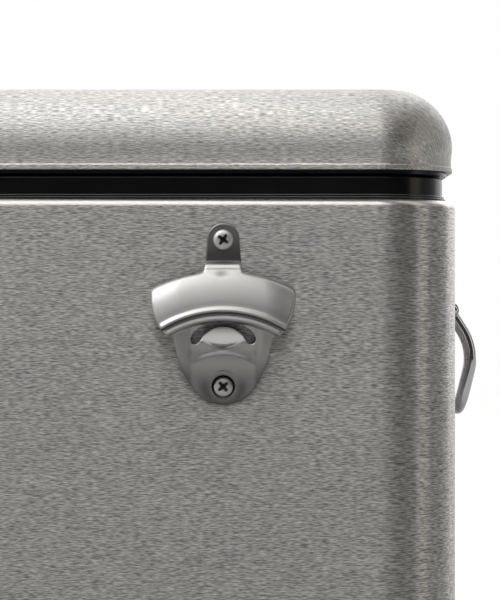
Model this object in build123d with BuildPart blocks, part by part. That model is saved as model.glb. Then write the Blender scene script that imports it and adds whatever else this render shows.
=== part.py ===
"""A steel-clad soda cooler chest: insulated tub, hinged lid, bail handles, latch, drain and wall-type bottle opener.

Millimetres. The origin is on the floor under the middle of the chest, +Z is up, the front faces -Y and the chest
is longest along X. The lid is shut, the latch is hooked and the handles hang down.
"""

import os
from math import cos, radians, sin

from build123d import *

# ---------------------------------------------------------------- driving dimensions

length, depth = 600.0, 400.0  # steel cladding, end to end and front to back
corner = 42.0  # cladding corner, seen from above
mouth_corner = 30.0  # corner of the ice tub's mouth, seen from above
wall = 35.0  # cladding face to tub face
sheet = 0.8  # steel sheet
plastic = 2.5  # moulded walls
seat_gap = 0.2  # between pieces that only touch

pan_bottom, pan_top, pan_lap = 6.0, 34.0, 12.0  # black base pan, and how far its upstand laps the cladding
pan_wall = 3.5
shell_top, shoulder = 345.0, 4.0  # top of the cladding and its rolled shoulder
rim_top, rim_inset = shell_top + 12.0, 6.5  # black collar that the lid shuts on
tub_floor, tub_fillet = 46.0, 18.0
lid_bottom, lid_inset, lid_round = shell_top + 14.5, 1.5, 30.0
lid_edge_top, lid_crown = shell_top + 54.0, 8.0  # lid height at its rim, and how much higher the crowned middle is
lid_flange = 8.0  # steel turned in under the lid, inset from the cladding face
pan_seal_gap = 0.6  # lid pan above the collar
plug_bottom, plug_clearance = shell_top - 2.0, 3.0  # the part of the lid pan that drops into the tub

front, back = -depth / 2, depth / 2
right, left = length / 2, -length / 2
lid_front, lid_back = front + lid_inset, back - lid_inset

hinge_x, hinge_width, knuckles = 170.0, 60.0, 5
hinge_axis_y, hinge_axis_z = back + 4.2, shell_top + 7.0
hinge_barrel, hinge_pin, hinge_leaf = 4.2, 2.4, 1.5
lid_travel = 100.0  # degrees, where the hinge's stop tab meets the lid leaf

handle_axis_out, handle_axis_z = 6.0, shell_top - 55.0  # off the end of the cladding, above the floor
handle_rod, handle_half = 3.5, 68.0  # rod radius, and half the distance between the legs
knee_out, knee_z = 18.5, 268.0
grip_out, grip_z = 11.5, 235.5
eye_outer, eye_from, eye_to = 6.0, 76.0, 88.0

opener_x, opener_z = 183.0, shell_top - 111.7  # centre of the opener's hood arcs
opener_wall = 2.2
drain_y, drain_z, drain_bore = 110.0, 62.0, 8.0

latch_axis_y, latch_axis_z, latch_pin_r = front - 6.0, shell_top + 21.0, 2.0

hardware_z = lid_bottom + 8.0  # screws of the latch and the hinges on the lid's skirt
keeper_z = shell_top - 19.0  # screws of the latch keeper
body_leaf_z = shell_top - 18.0  # screws of the hinges' body leaves
liner_top = shell_top - 3.9
running = 0.06  # radial clearance of a pin that turns


# ---------------------------------------------------------------- shared shapes


def plan_corner(inset):
    """Corner radius of a rounded rectangle that runs parallel to the cladding."""
    return corner - inset


def mouth_radius(inset):
    """Corner radius of a rounded rectangle that runs parallel to the tub's mouth."""
    return mouth_corner + (wall - inset)


def block(inset, low, high, radius=None, mode=Mode.ADD):
    """A rounded block, inset from the cladding's face all round, between two heights."""
    with BuildSketch(Plane.XY.offset(low)) as outline:
        RectangleRounded(length - 2 * inset, depth - 2 * inset, radius or plan_corner(inset))
    return extrude(outline.sketch, amount=high - low, mode=mode)


def tub_form(inset, floor, top, fillet_radius):
    """A tub-shaped solid parallel to the ice tub, rounded along its bottom edge."""
    with BuildPart() as form:
        block(inset, floor, top, mouth_radius(inset))
        fillet(form.faces().sort_by(Axis.Z)[0].edges(), fillet_radius)
    return form.part


def lid_form(inset, low, lowered):
    """The lid's crowned pillow shape: inset all round from the lid's face, and lowered at the top."""
    half_depth, edge_z, crown_z = depth / 2, lid_edge_top - lowered, lid_edge_top + lid_crown - lowered
    with BuildPart() as form:
        with BuildSketch(Plane.YZ) as side:
            with BuildLine():
                Polyline((half_depth, edge_z), (half_depth, low), (-half_depth, low), (-half_depth, edge_z))
                ThreePointArc((-half_depth, edge_z), (0, crown_z), (half_depth, edge_z))
            make_face()
        extrude(side.sketch, amount=length / 2, both=True)
        block(lid_inset + inset, low, crown_z + 1.0, mode=Mode.INTERSECT)
        top = form.faces().sort_by(Axis.Z)[-1]
        fillet(top.edges(), lid_round - inset)
    return form.part


def facing(x, y, z, out):
    """A place on a face at that point, whose local +Z points out of the face."""
    side = {"front": (0, -1, 0), "back": (0, 1, 0), "right": (1, 0, 0), "left": (-1, 0, 0), "down": (0, 0, -1)}
    across = (0, 1, 0) if out in ("right", "left") else (1, 0, 0)
    return Plane(origin=(x, y, z), x_dir=across, z_dir=side[out]).location


def pan_screw(head, rise, shank, reach):
    """A cross-recess pan-head screw: its seat is at the origin, its head is up and its shank down."""
    with BuildPart() as screw:
        Cylinder(head, rise, align=(Align.CENTER, Align.CENTER, Align.MIN))
        fillet(screw.faces().sort_by(Axis.Z)[-1].edges(), rise * 0.62)
        Cylinder(shank, reach, align=(Align.CENTER, Align.CENTER, Align.MAX))
        chamfer(screw.faces().sort_by(Axis.Z)[0].edges(), shank * 0.45)
        with BuildSketch(Plane.XY.offset(rise)) as recess:
            Rectangle(head * 1.05, head * 0.24)
            Rectangle(head * 0.24, head * 1.05)
        extrude(recess.sketch, amount=-rise * 0.75, mode=Mode.SUBTRACT)
    return screw.part


def fasteners(screw, places, label):
    """Like screws at several places, as one node of separate solids."""
    with BuildPart() as group:
        with Locations(*places):
            add(screw)
    group.part.label = label
    return group.part


def drill(places, radius, reach):
    """Holes of that radius, down from each place, in the part being built."""
    with Locations(*places):
        Hole(radius, reach)


def finish(part, label):
    """Labels a finished piece and writes it to its own file."""
    part.label = label
    export_step(part, f"parts/{label}.step")


os.makedirs("parts", exist_ok=True)

# ---------------------------------------------------------------- places of the fasteners

opener_screw_z = (shell_top - 20.2, shell_top - 91.5)
opener_seat = 2.5  # screw seats above the cladding
opener_places = [facing(opener_x, front - opener_seat, z, "front") for z in opener_screw_z]

plate = 1.5  # pressed plates under the handles, keeper and latch
handle_screw_y = (-95.0, -52.0, 52.0, 95.0)
handle_places = {
    "right": [facing(right + plate, y, handle_axis_z, "right") for y in handle_screw_y],
    "left": [facing(left - plate, y, handle_axis_z, "left") for y in handle_screw_y],
}

keeper_places = [facing(x, front - plate, keeper_z, "front") for x in (-18.0, 18.0)]
bracket_places = [facing(x, lid_front - plate, hardware_z, "front") for x in (-38.0, 38.0)]

hinge_screw_x = (-20.0, 0.0, 20.0)
hinge_sides = {"left": -hinge_x, "right": hinge_x}
body_leaf_places = [
    facing(x + dx, back + hinge_leaf, body_leaf_z, "back") for x in hinge_sides.values() for dx in hinge_screw_x
]
lid_leaf_places = [
    facing(x + dx, lid_back + hinge_leaf, hardware_z, "back") for x in hinge_sides.values() for dx in hinge_screw_x
]

base_screw_z = pan_top + pan_lap / 2
base_places = (
    [facing(x, front, base_screw_z, "front") for x in (-225.0, -75.0, 75.0, 225.0)]
    + [facing(x, back, base_screw_z, "back") for x in (-225.0, -75.0, 75.0, 225.0)]
    + [facing(right, y, base_screw_z, "right") for y in (-110.0, 110.0)]
    + [facing(left, y, base_screw_z, "left") for y in (-110.0, 35.0)]
)

foot_x, foot_y, foot_radius = 235.0, 140.0, 24.0
foot_centres = {
    "front_left": (-foot_x, -foot_y),
    "front_right": (foot_x, -foot_y),
    "rear_left": (-foot_x, foot_y),
    "rear_right": (foot_x, foot_y),
}
foot_places = [facing(x, y, 2.5, "down") for x, y in foot_centres.values()]

# ---------------------------------------------------------------- screws: head radius, head height, shank, reach

m5_screw = pan_screw(5.0, 3.2, 2.4, 13.0)
m4_screw = pan_screw(4.0, 2.4, 1.9, 11.0)
m3_screw = pan_screw(3.2, 1.8, 1.45, 8.0)
foot_screw = pan_screw(4.0, 2.2, 1.9, 9.0)

finish(fasteners(m5_screw, opener_places, "opener_screws"), "opener_screws")
finish(fasteners(m4_screw, handle_places["right"], "handle_screws_right"), "handle_screws_right")
finish(fasteners(m4_screw, handle_places["left"], "handle_screws_left"), "handle_screws_left")
finish(fasteners(m4_screw, keeper_places, "keeper_screws"), "keeper_screws")
finish(fasteners(m3_screw, bracket_places, "latch_bracket_screws"), "latch_bracket_screws")
finish(fasteners(m3_screw, body_leaf_places, "hinge_screws_body"), "hinge_screws_body")
finish(fasteners(m3_screw, lid_leaf_places, "hinge_screws_lid"), "hinge_screws_lid")
finish(fasteners(m3_screw, base_places, "base_screws"), "base_screws")
finish(fasteners(foot_screw, foot_places, "foot_screws"), "foot_screws")

# ---------------------------------------------------------------- backing strips behind the cladding

strip = 2.0
strip_sites = {
    "opener_backing": (facing(opener_x, front + sheet + seat_gap, shell_top - 56.0, "front"), 16.0, 92.0),
    "keeper_backing": (facing(0, front + sheet + seat_gap, keeper_z, "front"), 56.0, 16.0),
    "handle_backing_right": (facing(right - sheet - seat_gap, 0, handle_axis_z, "right"), 210.0, 18.0),
    "handle_backing_left": (facing(left + sheet + seat_gap, 0, handle_axis_z, "left"), 210.0, 18.0),
    "hinge_backing_body_left": (facing(-hinge_x, back - sheet - seat_gap, body_leaf_z, "back"), 56.0, 14.0),
    "hinge_backing_body_right": (facing(hinge_x, back - sheet - seat_gap, body_leaf_z, "back"), 56.0, 14.0),
    "hinge_backing_lid_left": (facing(-hinge_x, lid_back - sheet - seat_gap, hardware_z, "back"), 56.0, 9.0),
    "hinge_backing_lid_right": (facing(hinge_x, lid_back - sheet - seat_gap, hardware_z, "back"), 56.0, 9.0),
    "latch_backing": (facing(0, lid_front + sheet + seat_gap, hardware_z, "front"), 92.0, 9.0),
}
all_places = {
    "m5": opener_places,
    "m4": handle_places["right"] + handle_places["left"] + keeper_places,
    "m3": bracket_places + body_leaf_places + lid_leaf_places + base_places,
}
shank_of = {"m5": 2.4, "m4": 1.9, "m3": 1.45}
reach_of = {"m5": 13.0, "m4": 11.0, "m3": 8.0}


def drill_all(extra, deeper=1.0):
    """Clearance holes for every screw that reaches the part being built."""
    for size, places in all_places.items():
        drill(places, shank_of[size] + extra, reach_of[size] + deeper)


for name, (place, wide, tall) in strip_sites.items():
    with BuildPart() as backing:
        with BuildSketch(Plane(place)):
            RectangleRounded(wide, tall, 3.0)
        extrude(amount=-strip)
        drill_all(0.1)
    finish(backing.part, name)


def strip_pockets():
    """Room in the foam for every backing strip."""
    for place, wide, tall in strip_sites.values():
        with BuildSketch(Plane(place)) as outline:
            RectangleRounded(wide + 2 * seat_gap, tall + 2 * seat_gap, 3.0 + seat_gap)
        extrude(outline.sketch, amount=-strip - seat_gap, mode=Mode.SUBTRACT)
        extrude(outline.sketch, amount=1.0, mode=Mode.SUBTRACT)


# ---------------------------------------------------------------- base pan and feet

with BuildPart() as base_pan:
    block(0, pan_bottom, pan_top)
    fillet(base_pan.faces().sort_by(Axis.Z)[0].edges(), 8.0)
    block(sheet + seat_gap, pan_top, pan_top + pan_lap)
    block(pan_wall, pan_bottom + 3.0, pan_top + pan_lap, mode=Mode.SUBTRACT)
    for x, y in foot_centres.values():
        with Locations((x, y, pan_bottom + 3.0)):
            Cylinder(7.0, 6.0, align=(Align.CENTER, Align.CENTER, Align.MIN))
    drill([facing(x, y, 0, "down") for x, y in foot_centres.values()], 2.0, 14.0)
    drill(base_places, 1.5, 10.0)
finish(base_pan.part, "base_pan")

for name, (x, y) in foot_centres.items():
    with BuildPart() as foot:
        with Locations((x, y, 0)):
            Cylinder(foot_radius, pan_bottom, align=(Align.CENTER, Align.CENTER, Align.MIN))
        chamfer(foot.faces().sort_by(Axis.Z)[0].edges(), 1.5)
        with Locations(facing(x, y, 0, "down")):
            CounterBoreHole(2.1, 5.0, 2.5)
    finish(foot.part, f"foot_{name}")

# ---------------------------------------------------------------- steel cladding of the body

with BuildPart() as body_shell:
    block(0, pan_top, shell_top)
    fillet(body_shell.faces().sort_by(Axis.Z)[-1].edges(), shoulder)
    with BuildPart(mode=Mode.PRIVATE) as hollow:
        block(sheet, pan_top, shell_top - sheet)
        fillet(hollow.faces().sort_by(Axis.Z)[-1].edges(), shoulder - sheet)
    add(hollow.part, mode=Mode.SUBTRACT)
    block(9.0, shell_top - sheet, shell_top, mode=Mode.SUBTRACT)
    drill_all(0.3)
    with Locations(facing(left, drain_y, drain_z, "left")):
        Hole(13.4, 5.0)
finish(body_shell.part, "body_shell")

# ---------------------------------------------------------------- ice tub and its black collar

channel_depth = 1.2
sump_floor, sump_top, sump_half, sump_end = 40.0, 86.0, 23.0, left + wall + 34.0


def sump_form(grow):
    """The square-cornered pocket that takes the drain nut, at the tub's left end, grown all round."""
    with BuildPart() as pocket:
        with Locations((left + wall - grow, drain_y, sump_floor - grow)):
            size = (sump_end - left - wall + 2 * grow, 2 * (sump_half + grow), sump_top - sump_floor + 2 * grow)
            Box(*size, align=(Align.MIN, Align.CENTER, Align.MIN))
    return pocket.part


with BuildPart() as inner_liner:
    add(tub_form(wall - plastic, tub_floor - plastic, liner_top, tub_fillet + plastic))
    add(sump_form(plastic))
    add(tub_form(wall, tub_floor, liner_top, tub_fillet), mode=Mode.SUBTRACT)
    add(sump_form(0), mode=Mode.SUBTRACT)
    with BuildSketch(Plane.XY.offset(tub_floor - channel_depth)):
        with Locations((-10.0, drain_y)):
            RectangleRounded(460.0, 14.0, 5.0)
    extrude(amount=channel_depth + 0.5, mode=Mode.SUBTRACT)
    with Locations(facing(left + wall, drain_y, drain_z, "left")):
        Hole(11.4, plastic * 2)
finish(inner_liner.part, "inner_liner")

with BuildPart() as top_rim:
    block(4.8, shell_top, shell_top + 1.2)
    block(5.6, shell_top + 1.2, shell_top + 2.4)
    block(rim_inset, shell_top + 2.4, rim_top)
    fillet(top_rim.faces().sort_by(Axis.Z)[-1].edges(), 1.5)
    block(9.2, shell_top, rim_top - plastic, mode=Mode.SUBTRACT)
    block(wall - plastic, liner_top + seat_gap, rim_top - plastic, mouth_radius(wall - plastic))
    block(wall, liner_top + seat_gap, rim_top, mouth_radius(wall), mode=Mode.SUBTRACT)
    inner_top = top_rim.faces().sort_by(Axis.Z)[-1].inner_wires()[0].edges()
    fillet(inner_top, 2.0)
finish(top_rim.part, "top_rim")

# ---------------------------------------------------------------- foam between the tub and the cladding

foam_joint = 90.0  # height of the joint between the foam's floor tray and its walls
with BuildPart() as foam:
    block(sheet + seat_gap, pan_top + pan_lap + seat_gap, shell_top - sheet - seat_gap)
    fillet(foam.faces().sort_by(Axis.Z)[-1].edges(), shoulder - sheet - seat_gap)
    block(pan_wall + seat_gap, pan_bottom + 9.0 + seat_gap, pan_top + pan_lap + seat_gap)
    block(9.4, shell_top - 5.0, rim_top - plastic - seat_gap)
    add(tub_form(wall - plastic - seat_gap, tub_floor - plastic - seat_gap, rim_top, tub_fillet), mode=Mode.SUBTRACT)
    add(sump_form(plastic + seat_gap), mode=Mode.SUBTRACT)
    strip_pockets()
    drill_all(0.5)
    with Locations(facing(left, drain_y, drain_z, "left")):
        Hole(13.4, wall)

with BuildPart() as insulation_walls:
    add(foam.part)
    split(bisect_by=Plane.XY.offset(foam_joint), keep=Keep.TOP)
finish(insulation_walls.part, "insulation_walls")

with BuildPart() as insulation_floor:
    add(foam.part)
    split(bisect_by=Plane.XY.offset(foam_joint - seat_gap), keep=Keep.BOTTOM)
finish(insulation_floor.part, "insulation_floor")

# ---------------------------------------------------------------- drain: spout, inside nut, seals and screw cap

drain_floor = left + wall  # tub face at the drain
tube_from = plastic + seat_gap  # the spout's shoulder, behind the tub's wall
with BuildPart() as drain_spout:
    with BuildSketch(Plane.XZ) as section:
        with BuildLine():
            Polyline(
                (drain_bore, -4.0), (11.2, -4.0), (11.2, tube_from), (13.0, tube_from), (13.0, wall + seat_gap),
                (21.0, wall + seat_gap), (21.0, wall + 3.0), (13.0, wall + 3.0), (13.0, wall + 17.0),
                (drain_bore, wall + 17.0), (drain_bore, -4.0),
            )
        make_face()
    revolve(axis=Axis.Z)
spout_place = facing(drain_floor, drain_y, drain_z, "left")
finish(drain_spout.part.moved(spout_place), "drain_spout")

with BuildPart() as drain_nut:
    with BuildSketch(Plane.XY.offset(-4.6)):
        RegularPolygon(18.0, 6, major_radius=False, rotation=30)
        Circle(11.3, mode=Mode.SUBTRACT)
    extrude(amount=3.2)
    chamfer(drain_nut.faces().sort_by(Axis.Z)[0].outer_wire().edges(), 0.8)
finish(drain_nut.part.moved(spout_place), "drain_nut")

with BuildPart() as drain_washer:
    with BuildSketch(Plane.XY.offset(-1.3)):
        Circle(17.0)
        Circle(11.4, mode=Mode.SUBTRACT)
    extrude(amount=1.2)
finish(drain_washer.part.moved(spout_place), "drain_washer")

with BuildPart() as drain_seal:
    with BuildSketch(Plane.XY.offset(wall + 17.4)):
        Circle(12.6)
    extrude(amount=1.8)
finish(drain_seal.part.moved(spout_place), "drain_seal")

cap_ribs, cap_outer = 24, 17.0
with BuildPart() as drain_cap:
    with BuildSketch(Plane.XY.offset(wall + 5.0)):
        Circle(cap_outer)
    extrude(amount=17.5)
    fillet(drain_cap.faces().sort_by(Axis.Z)[-1].edges(), 1.5)
    with BuildSketch(Plane.XY.offset(wall + 6.5)):
        with PolarLocations(cap_outer, cap_ribs):
            Circle(1.2)
    extrude(amount=13.0)
    with BuildSketch(Plane.XY.offset(wall + 5.0)):
        Circle(13.2)
    extrude(amount=14.4, mode=Mode.SUBTRACT)
finish(drain_cap.part.moved(spout_place), "drain_cap")

# ---------------------------------------------------------------- bail handles

handle_signs = {"right": 1, "left": -1}
for side, sign in handle_signs.items():
    face_x = sign * length / 2
    axis_x = face_x + sign * handle_axis_out

    with BuildPart() as handle_plate:
        with BuildSketch(Plane(facing(face_x, 0, handle_axis_z, side))):
            RectangleRounded(216.0, 30.0, 8.0)
        extrude(amount=plate)
        for eye_y in (-(eye_from + eye_to) / 2, (eye_from + eye_to) / 2):
            with BuildSketch(Plane.XZ.offset(-eye_y)):
                with Locations((axis_x, handle_axis_z)):
                    Circle(eye_outer - 0.4)
                with Locations((face_x + sign * handle_axis_out / 2, handle_axis_z)):
                    Rectangle(handle_axis_out, 2 * eye_outer - 0.8)
            extrude(amount=(eye_to - eye_from) / 2, both=True)
        with BuildSketch(Plane.XZ):
            with Locations((axis_x, handle_axis_z)):
                Circle(handle_rod + running)
        extrude(amount=120.0, both=True, mode=Mode.SUBTRACT)
        drill(handle_places[side], 2.1, 5.0)
    finish(handle_plate.part, f"handle_plate_{side}")

    route = [
        (axis_x, -eye_to - 2.0, handle_axis_z),
        (axis_x, -handle_half, handle_axis_z),
        (face_x + sign * knee_out, -handle_half, knee_z),
        (face_x + sign * grip_out, -handle_half, grip_z),
    ]
    route += [(x, -y, z) for x, y, z in reversed(route)]
    bends = [7.0, 12.0, 12.0]
    with BuildPart() as handle:
        with BuildLine() as rod_line:
            FilletPolyline(*route, radius=bends + bends[::-1])
        with BuildSketch(Plane(rod_line.line @ 0, z_dir=rod_line.line % 0)):
            Circle(handle_rod)
        sweep(path=rod_line.line)
    finish(handle.part, f"handle_{side}")

# ---------------------------------------------------------------- lid

pan_low = rim_top + pan_seal_gap
plug_inset = wall + plug_clearance
groove_from, groove_to, groove_depth = 14.0, 20.0, 2.4
with BuildPart() as lid_shell:
    add(lid_form(0, lid_bottom, 0))
    fillet(lid_shell.faces().sort_by(Axis.Z)[0].edges(), 1.2)
    add(lid_form(sheet, lid_bottom + sheet, sheet), mode=Mode.SUBTRACT)
    block(lid_flange, lid_bottom, lid_bottom + sheet, mode=Mode.SUBTRACT)
    drill_all(0.3)
finish(lid_shell.part, "lid_shell")

with BuildPart() as lid_pan:
    block(4.5, pan_low, lid_bottom - 0.1)
    block(lid_flange + seat_gap, pan_low, pan_low + 3.4)
    block(plug_inset, plug_bottom, pan_low, mouth_radius(plug_inset))
    fillet(lid_pan.faces().sort_by(Axis.Z)[0].edges(), 5.0)
    with BuildPart(mode=Mode.PRIVATE) as plug_hollow:
        inset = plug_inset + plastic
        block(inset, plug_bottom + plastic, pan_low + 3.4, mouth_radius(inset))
    add(plug_hollow.part, mode=Mode.SUBTRACT)
    with BuildPart(mode=Mode.PRIVATE) as groove:
        block(groove_from, pan_low, pan_low + groove_depth)
        block(groove_to, pan_low, pan_low + groove_depth, mode=Mode.SUBTRACT)
    add(groove.part, mode=Mode.SUBTRACT)
finish(lid_pan.part, "lid_pan")

with BuildPart() as lid_gasket:
    block(groove_from + seat_gap, rim_top + 0.3, pan_low + groove_depth - seat_gap)
    block(groove_to - seat_gap, rim_top + 0.3, pan_low + groove_depth - seat_gap, mode=Mode.SUBTRACT)
    fillet(lid_gasket.faces().sort_by(Axis.Z)[0].edges(), 0.25)
finish(lid_gasket.part, "lid_gasket")

with BuildPart() as lid_insulation:
    add(lid_form(sheet + seat_gap, pan_low + 3.4 + seat_gap, sheet + seat_gap))
    plug_foam = plug_inset + plastic + seat_gap
    block(plug_foam, plug_bottom + plastic + seat_gap, pan_low + 5.0, mouth_radius(plug_foam))
    strip_pockets()
    drill_all(0.5)
finish(lid_insulation.part, "lid_insulation")

# ---------------------------------------------------------------- stop hinges

knuckle = hinge_width / knuckles
knuckle_gap = 0.3
leaf_foot = hardware_z - 4.0  # where the lid leaf bends back to its knuckles
for side, hinge_at in hinge_sides.items():
    knuckle_x = [hinge_at + (i - (knuckles - 1) / 2) * knuckle for i in range(knuckles)]

    with BuildPart() as body_leaf:
        with BuildSketch(Plane(facing(hinge_at, back, body_leaf_z, "back"))):
            RectangleRounded(hinge_width, 32.0, 4.0)
        extrude(amount=hinge_leaf)
        for x in knuckle_x[0::2]:
            with BuildSketch(Plane.YZ.offset(x)):
                with Locations((hinge_axis_y, hinge_axis_z)):
                    Circle(hinge_barrel)
                with Locations((back + hinge_leaf / 2, (hinge_axis_z + body_leaf_z) / 2)):
                    Rectangle(hinge_leaf, hinge_axis_z - body_leaf_z)
            extrude(amount=knuckle / 2 - knuckle_gap / 2, both=True)
        with BuildSketch(Plane.YZ.offset(knuckle_x[2])):
            with BuildLine():
                stop_tip = hinge_axis_y + 11.0
                Polyline(
                    (hinge_axis_y, hinge_axis_z - 3.5), (stop_tip, hinge_axis_z + 0.5),
                    (stop_tip, hinge_axis_z + 2.0), (hinge_axis_y, hinge_axis_z + 3.5),
                    (hinge_axis_y, hinge_axis_z - 3.5),
                )
            make_face()
        extrude(amount=knuckle / 2 - knuckle_gap / 2, both=True)
        with BuildSketch(Plane.YZ.offset(hinge_at)):
            with Locations((hinge_axis_y, hinge_axis_z)):
                Circle(hinge_pin + running)
        extrude(amount=hinge_width, both=True, mode=Mode.SUBTRACT)
        drill(body_leaf_places, 1.7, 4.0)
    finish(body_leaf.part, f"hinge_body_leaf_{side}")

    with BuildPart() as lid_leaf:
        with BuildSketch(Plane(facing(hinge_at, lid_back, hardware_z, "back"))):
            RectangleRounded(hinge_width, 12.0, 3.0)
        extrude(amount=hinge_leaf)
        for x in knuckle_x[1::2]:
            with BuildSketch(Plane.YZ.offset(x)):
                with Locations((hinge_axis_y, hinge_axis_z)):
                    Circle(hinge_barrel)
                with BuildLine():
                    Polyline(
                        (lid_back, leaf_foot), (lid_back, hinge_axis_z + 3.0),
                        (hinge_axis_y, hinge_axis_z), (hinge_axis_y + 1.0, hinge_axis_z + 4.0),
                        (lid_back + hinge_leaf, leaf_foot), (lid_back, leaf_foot),
                    )
                make_face()
            extrude(amount=knuckle / 2 - knuckle_gap / 2, both=True)
        with BuildSketch(Plane.YZ.offset(hinge_at)):
            with Locations((hinge_axis_y, hinge_axis_z)):
                Circle(hinge_pin + running)
        extrude(amount=hinge_width, both=True, mode=Mode.SUBTRACT)
        drill(lid_leaf_places, 1.7, 4.0)
    finish(lid_leaf.part, f"hinge_lid_leaf_{side}")

    with BuildPart() as pin:
        with BuildSketch(Plane.YZ.offset(hinge_at - hinge_width / 2 - 1.0)):
            with Locations((hinge_axis_y, hinge_axis_z)):
                Circle(hinge_pin)
        extrude(amount=hinge_width + 2.0)
        chamfer(pin.faces().filter_by(GeomType.PLANE).edges(), 0.4)
    finish(pin.part, f"hinge_pin_{side}")

# ---------------------------------------------------------------- latch

keeper_nose_z = (shell_top - 11.5, shell_top - 7.0)
with BuildPart() as latch_keeper:
    with BuildSketch(Plane(facing(0, front, keeper_z + 3.0, "front"))):
        RectangleRounded(52.0, 24.0, 5.0)
    extrude(amount=plate)
    with BuildSketch(Plane.YZ):
        with BuildLine():
            Polyline(
                (front - 0.5, keeper_nose_z[1] + 1.0), (front - plate, keeper_nose_z[1] + 1.0),
                (front - 7.0, keeper_nose_z[0] + 2.4), (front - 7.0, keeper_nose_z[0]),
                (front - 0.5, keeper_nose_z[0]), (front - 0.5, keeper_nose_z[1] + 1.0),
            )
        make_face()
    extrude(amount=11.0, both=True)
    drill(keeper_places, 2.1, 4.0)
finish(latch_keeper.part, "latch_keeper")

ear_x, ear = 29.5, 2.5
with BuildPart() as latch_bracket:
    with BuildSketch(Plane(facing(0, lid_front, hardware_z, "front"))):
        RectangleRounded(92.0, 12.0, 3.5)
    extrude(amount=plate)
    for x in (-ear_x, ear_x):
        with BuildSketch(Plane.YZ.offset(x)):
            with Locations((latch_axis_y, latch_axis_z)):
                Circle(4.6)
            with Locations(((latch_axis_y + lid_front - plate) / 2, latch_axis_z)):
                Rectangle(lid_front - plate - latch_axis_y, 9.2)
        extrude(amount=ear / 2, both=True)
    with BuildSketch(Plane.YZ):
        with Locations((latch_axis_y, latch_axis_z)):
            Circle(latch_pin_r + running)
    extrude(amount=60.0, both=True, mode=Mode.SUBTRACT)
    drill(bracket_places, 1.7, 4.0)
finish(latch_bracket.part, "latch_bracket")

with BuildPart() as latch_pin:
    with BuildSketch(Plane.YZ.offset(-ear_x - ear / 2 - 1.0)):
        with Locations((latch_axis_y, latch_axis_z)):
            Circle(latch_pin_r)
    extrude(amount=2 * ear_x + ear + 2.0)
    chamfer(latch_pin.faces().filter_by(GeomType.PLANE).edges(), 0.4)
finish(latch_pin.part, "latch_pin")

lever_half = 27.5
lever_side = [(-4.2, 0), (-4.2, -40.0), (-12.0, -53.4), (-10.2, -54.6), (-2.2, -41.0), (-2.2, 0)]  # off the axis
hook_side = [(-2.6, -33.6), (2.4, -33.6), (2.4, -35.6), (-2.6, -40.0)]
with BuildPart() as latch_lever:
    with BuildSketch(Plane.YZ):
        with Locations((latch_axis_y, latch_axis_z)):
            Circle(4.2)
        with BuildLine():
            Polyline([(latch_axis_y + y, latch_axis_z + z) for y, z in lever_side], close=True)
        make_face()
    extrude(amount=lever_half, both=True)
    with BuildSketch(Plane.YZ):
        with BuildLine():
            Polyline([(latch_axis_y + y, latch_axis_z + z) for y, z in hook_side], close=True)
        make_face()
    extrude(amount=10.0, both=True)
    with BuildSketch(Plane.YZ):
        with Locations((latch_axis_y, latch_axis_z)):
            Circle(latch_pin_r + running)
    extrude(amount=60.0, both=True, mode=Mode.SUBTRACT)
finish(latch_lever.part, "latch_lever")

# ---------------------------------------------------------------- bottle opener
# Its pressed shape is worked out on the face: across is X, up is Z, and its height stands off the front.

hood_sweep = 27.4  # degrees each side of the middle
hood_profile = [  # radius from the arc centre, height off the cladding
    (76.0, 5.0), (74.6, 8.6), (71.0, 12.0), (66.0, 14.0), (61.4, 15.0), (59.8, 16.6), (58.2, 16.8), (57.0, 15.2),
    (56.2, 13.4), (52.4, 11.6),
]
side_profile = [  # up from the arc centre, height off the cladding
    (54.0, 10.6), (46.0, 11.4), (41.0, 10.4), (36.5, 9.6), (30.0, 9.0), (22.0, 6.4), (16.0, 4.0), (11.0, 2.6),
]


def opener_place(across, up):
    """A point of the opener on the cladding's face."""
    return (opener_x + across, front, opener_z + up)


def hood_solid(shrink):
    """The hood's ring sector, down to the cladding; shrink thins it all round for its hollow."""
    points = [(r - shrink if i == 0 else r, h - shrink) for i, (r, h) in enumerate(hood_profile)]
    with BuildPart() as hood:
        with BuildSketch(Plane.XZ) as section:
            with BuildLine():
                Polyline((points[-1][0], 0), *reversed(points), (points[0][0], 0), close=True)
            make_face()
        revolve(section.sketch, axis=Axis.Z, revolution_arc=2 * (hood_sweep - degrees_of(shrink)))
    turn = Rotation(0, 0, 90 - hood_sweep + degrees_of(shrink))
    return turn * hood.part


def degrees_of(inset):
    """The angle that an inset spans along the hood's arc."""
    return inset / 64.0 * 57.3


def lower_solid(shrink):
    """The shield-shaped plate under the hood, down to the cladding; shrink thins it all round."""
    width, foot, tip = 24.6 - shrink, 11.0 + shrink, 53.6 - shrink
    with BuildPart() as lower:
        with BuildSketch(Plane.XY) as shield:
            with BuildLine():
                Polyline((-width, 44.0), (-width, tip), (width, tip), (width, 44.0))
                Spline((width, 44.0), (0.66 * width, 22.0), (0, foot), tangents=((-0.25, -1), (-1, 0)))
                Spline((0, foot), (-0.66 * width, 22.0), (-width, 44.0), tangents=((-1, 0), (-0.25, 1)))
            make_face()
        extrude(shield.sketch, amount=24.0)
        with BuildSketch(Plane.YZ) as side:
            with BuildLine():
                points = [(v, h - shrink) for v, h in side_profile]
                Polyline((points[0][0], -1.0), *points, (5.0, points[-1][1]), (5.0, -1.0), close=True)
            make_face()
        extrude(side.sketch, amount=40.0, both=True, mode=Mode.INTERSECT)
    return lower.part


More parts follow.
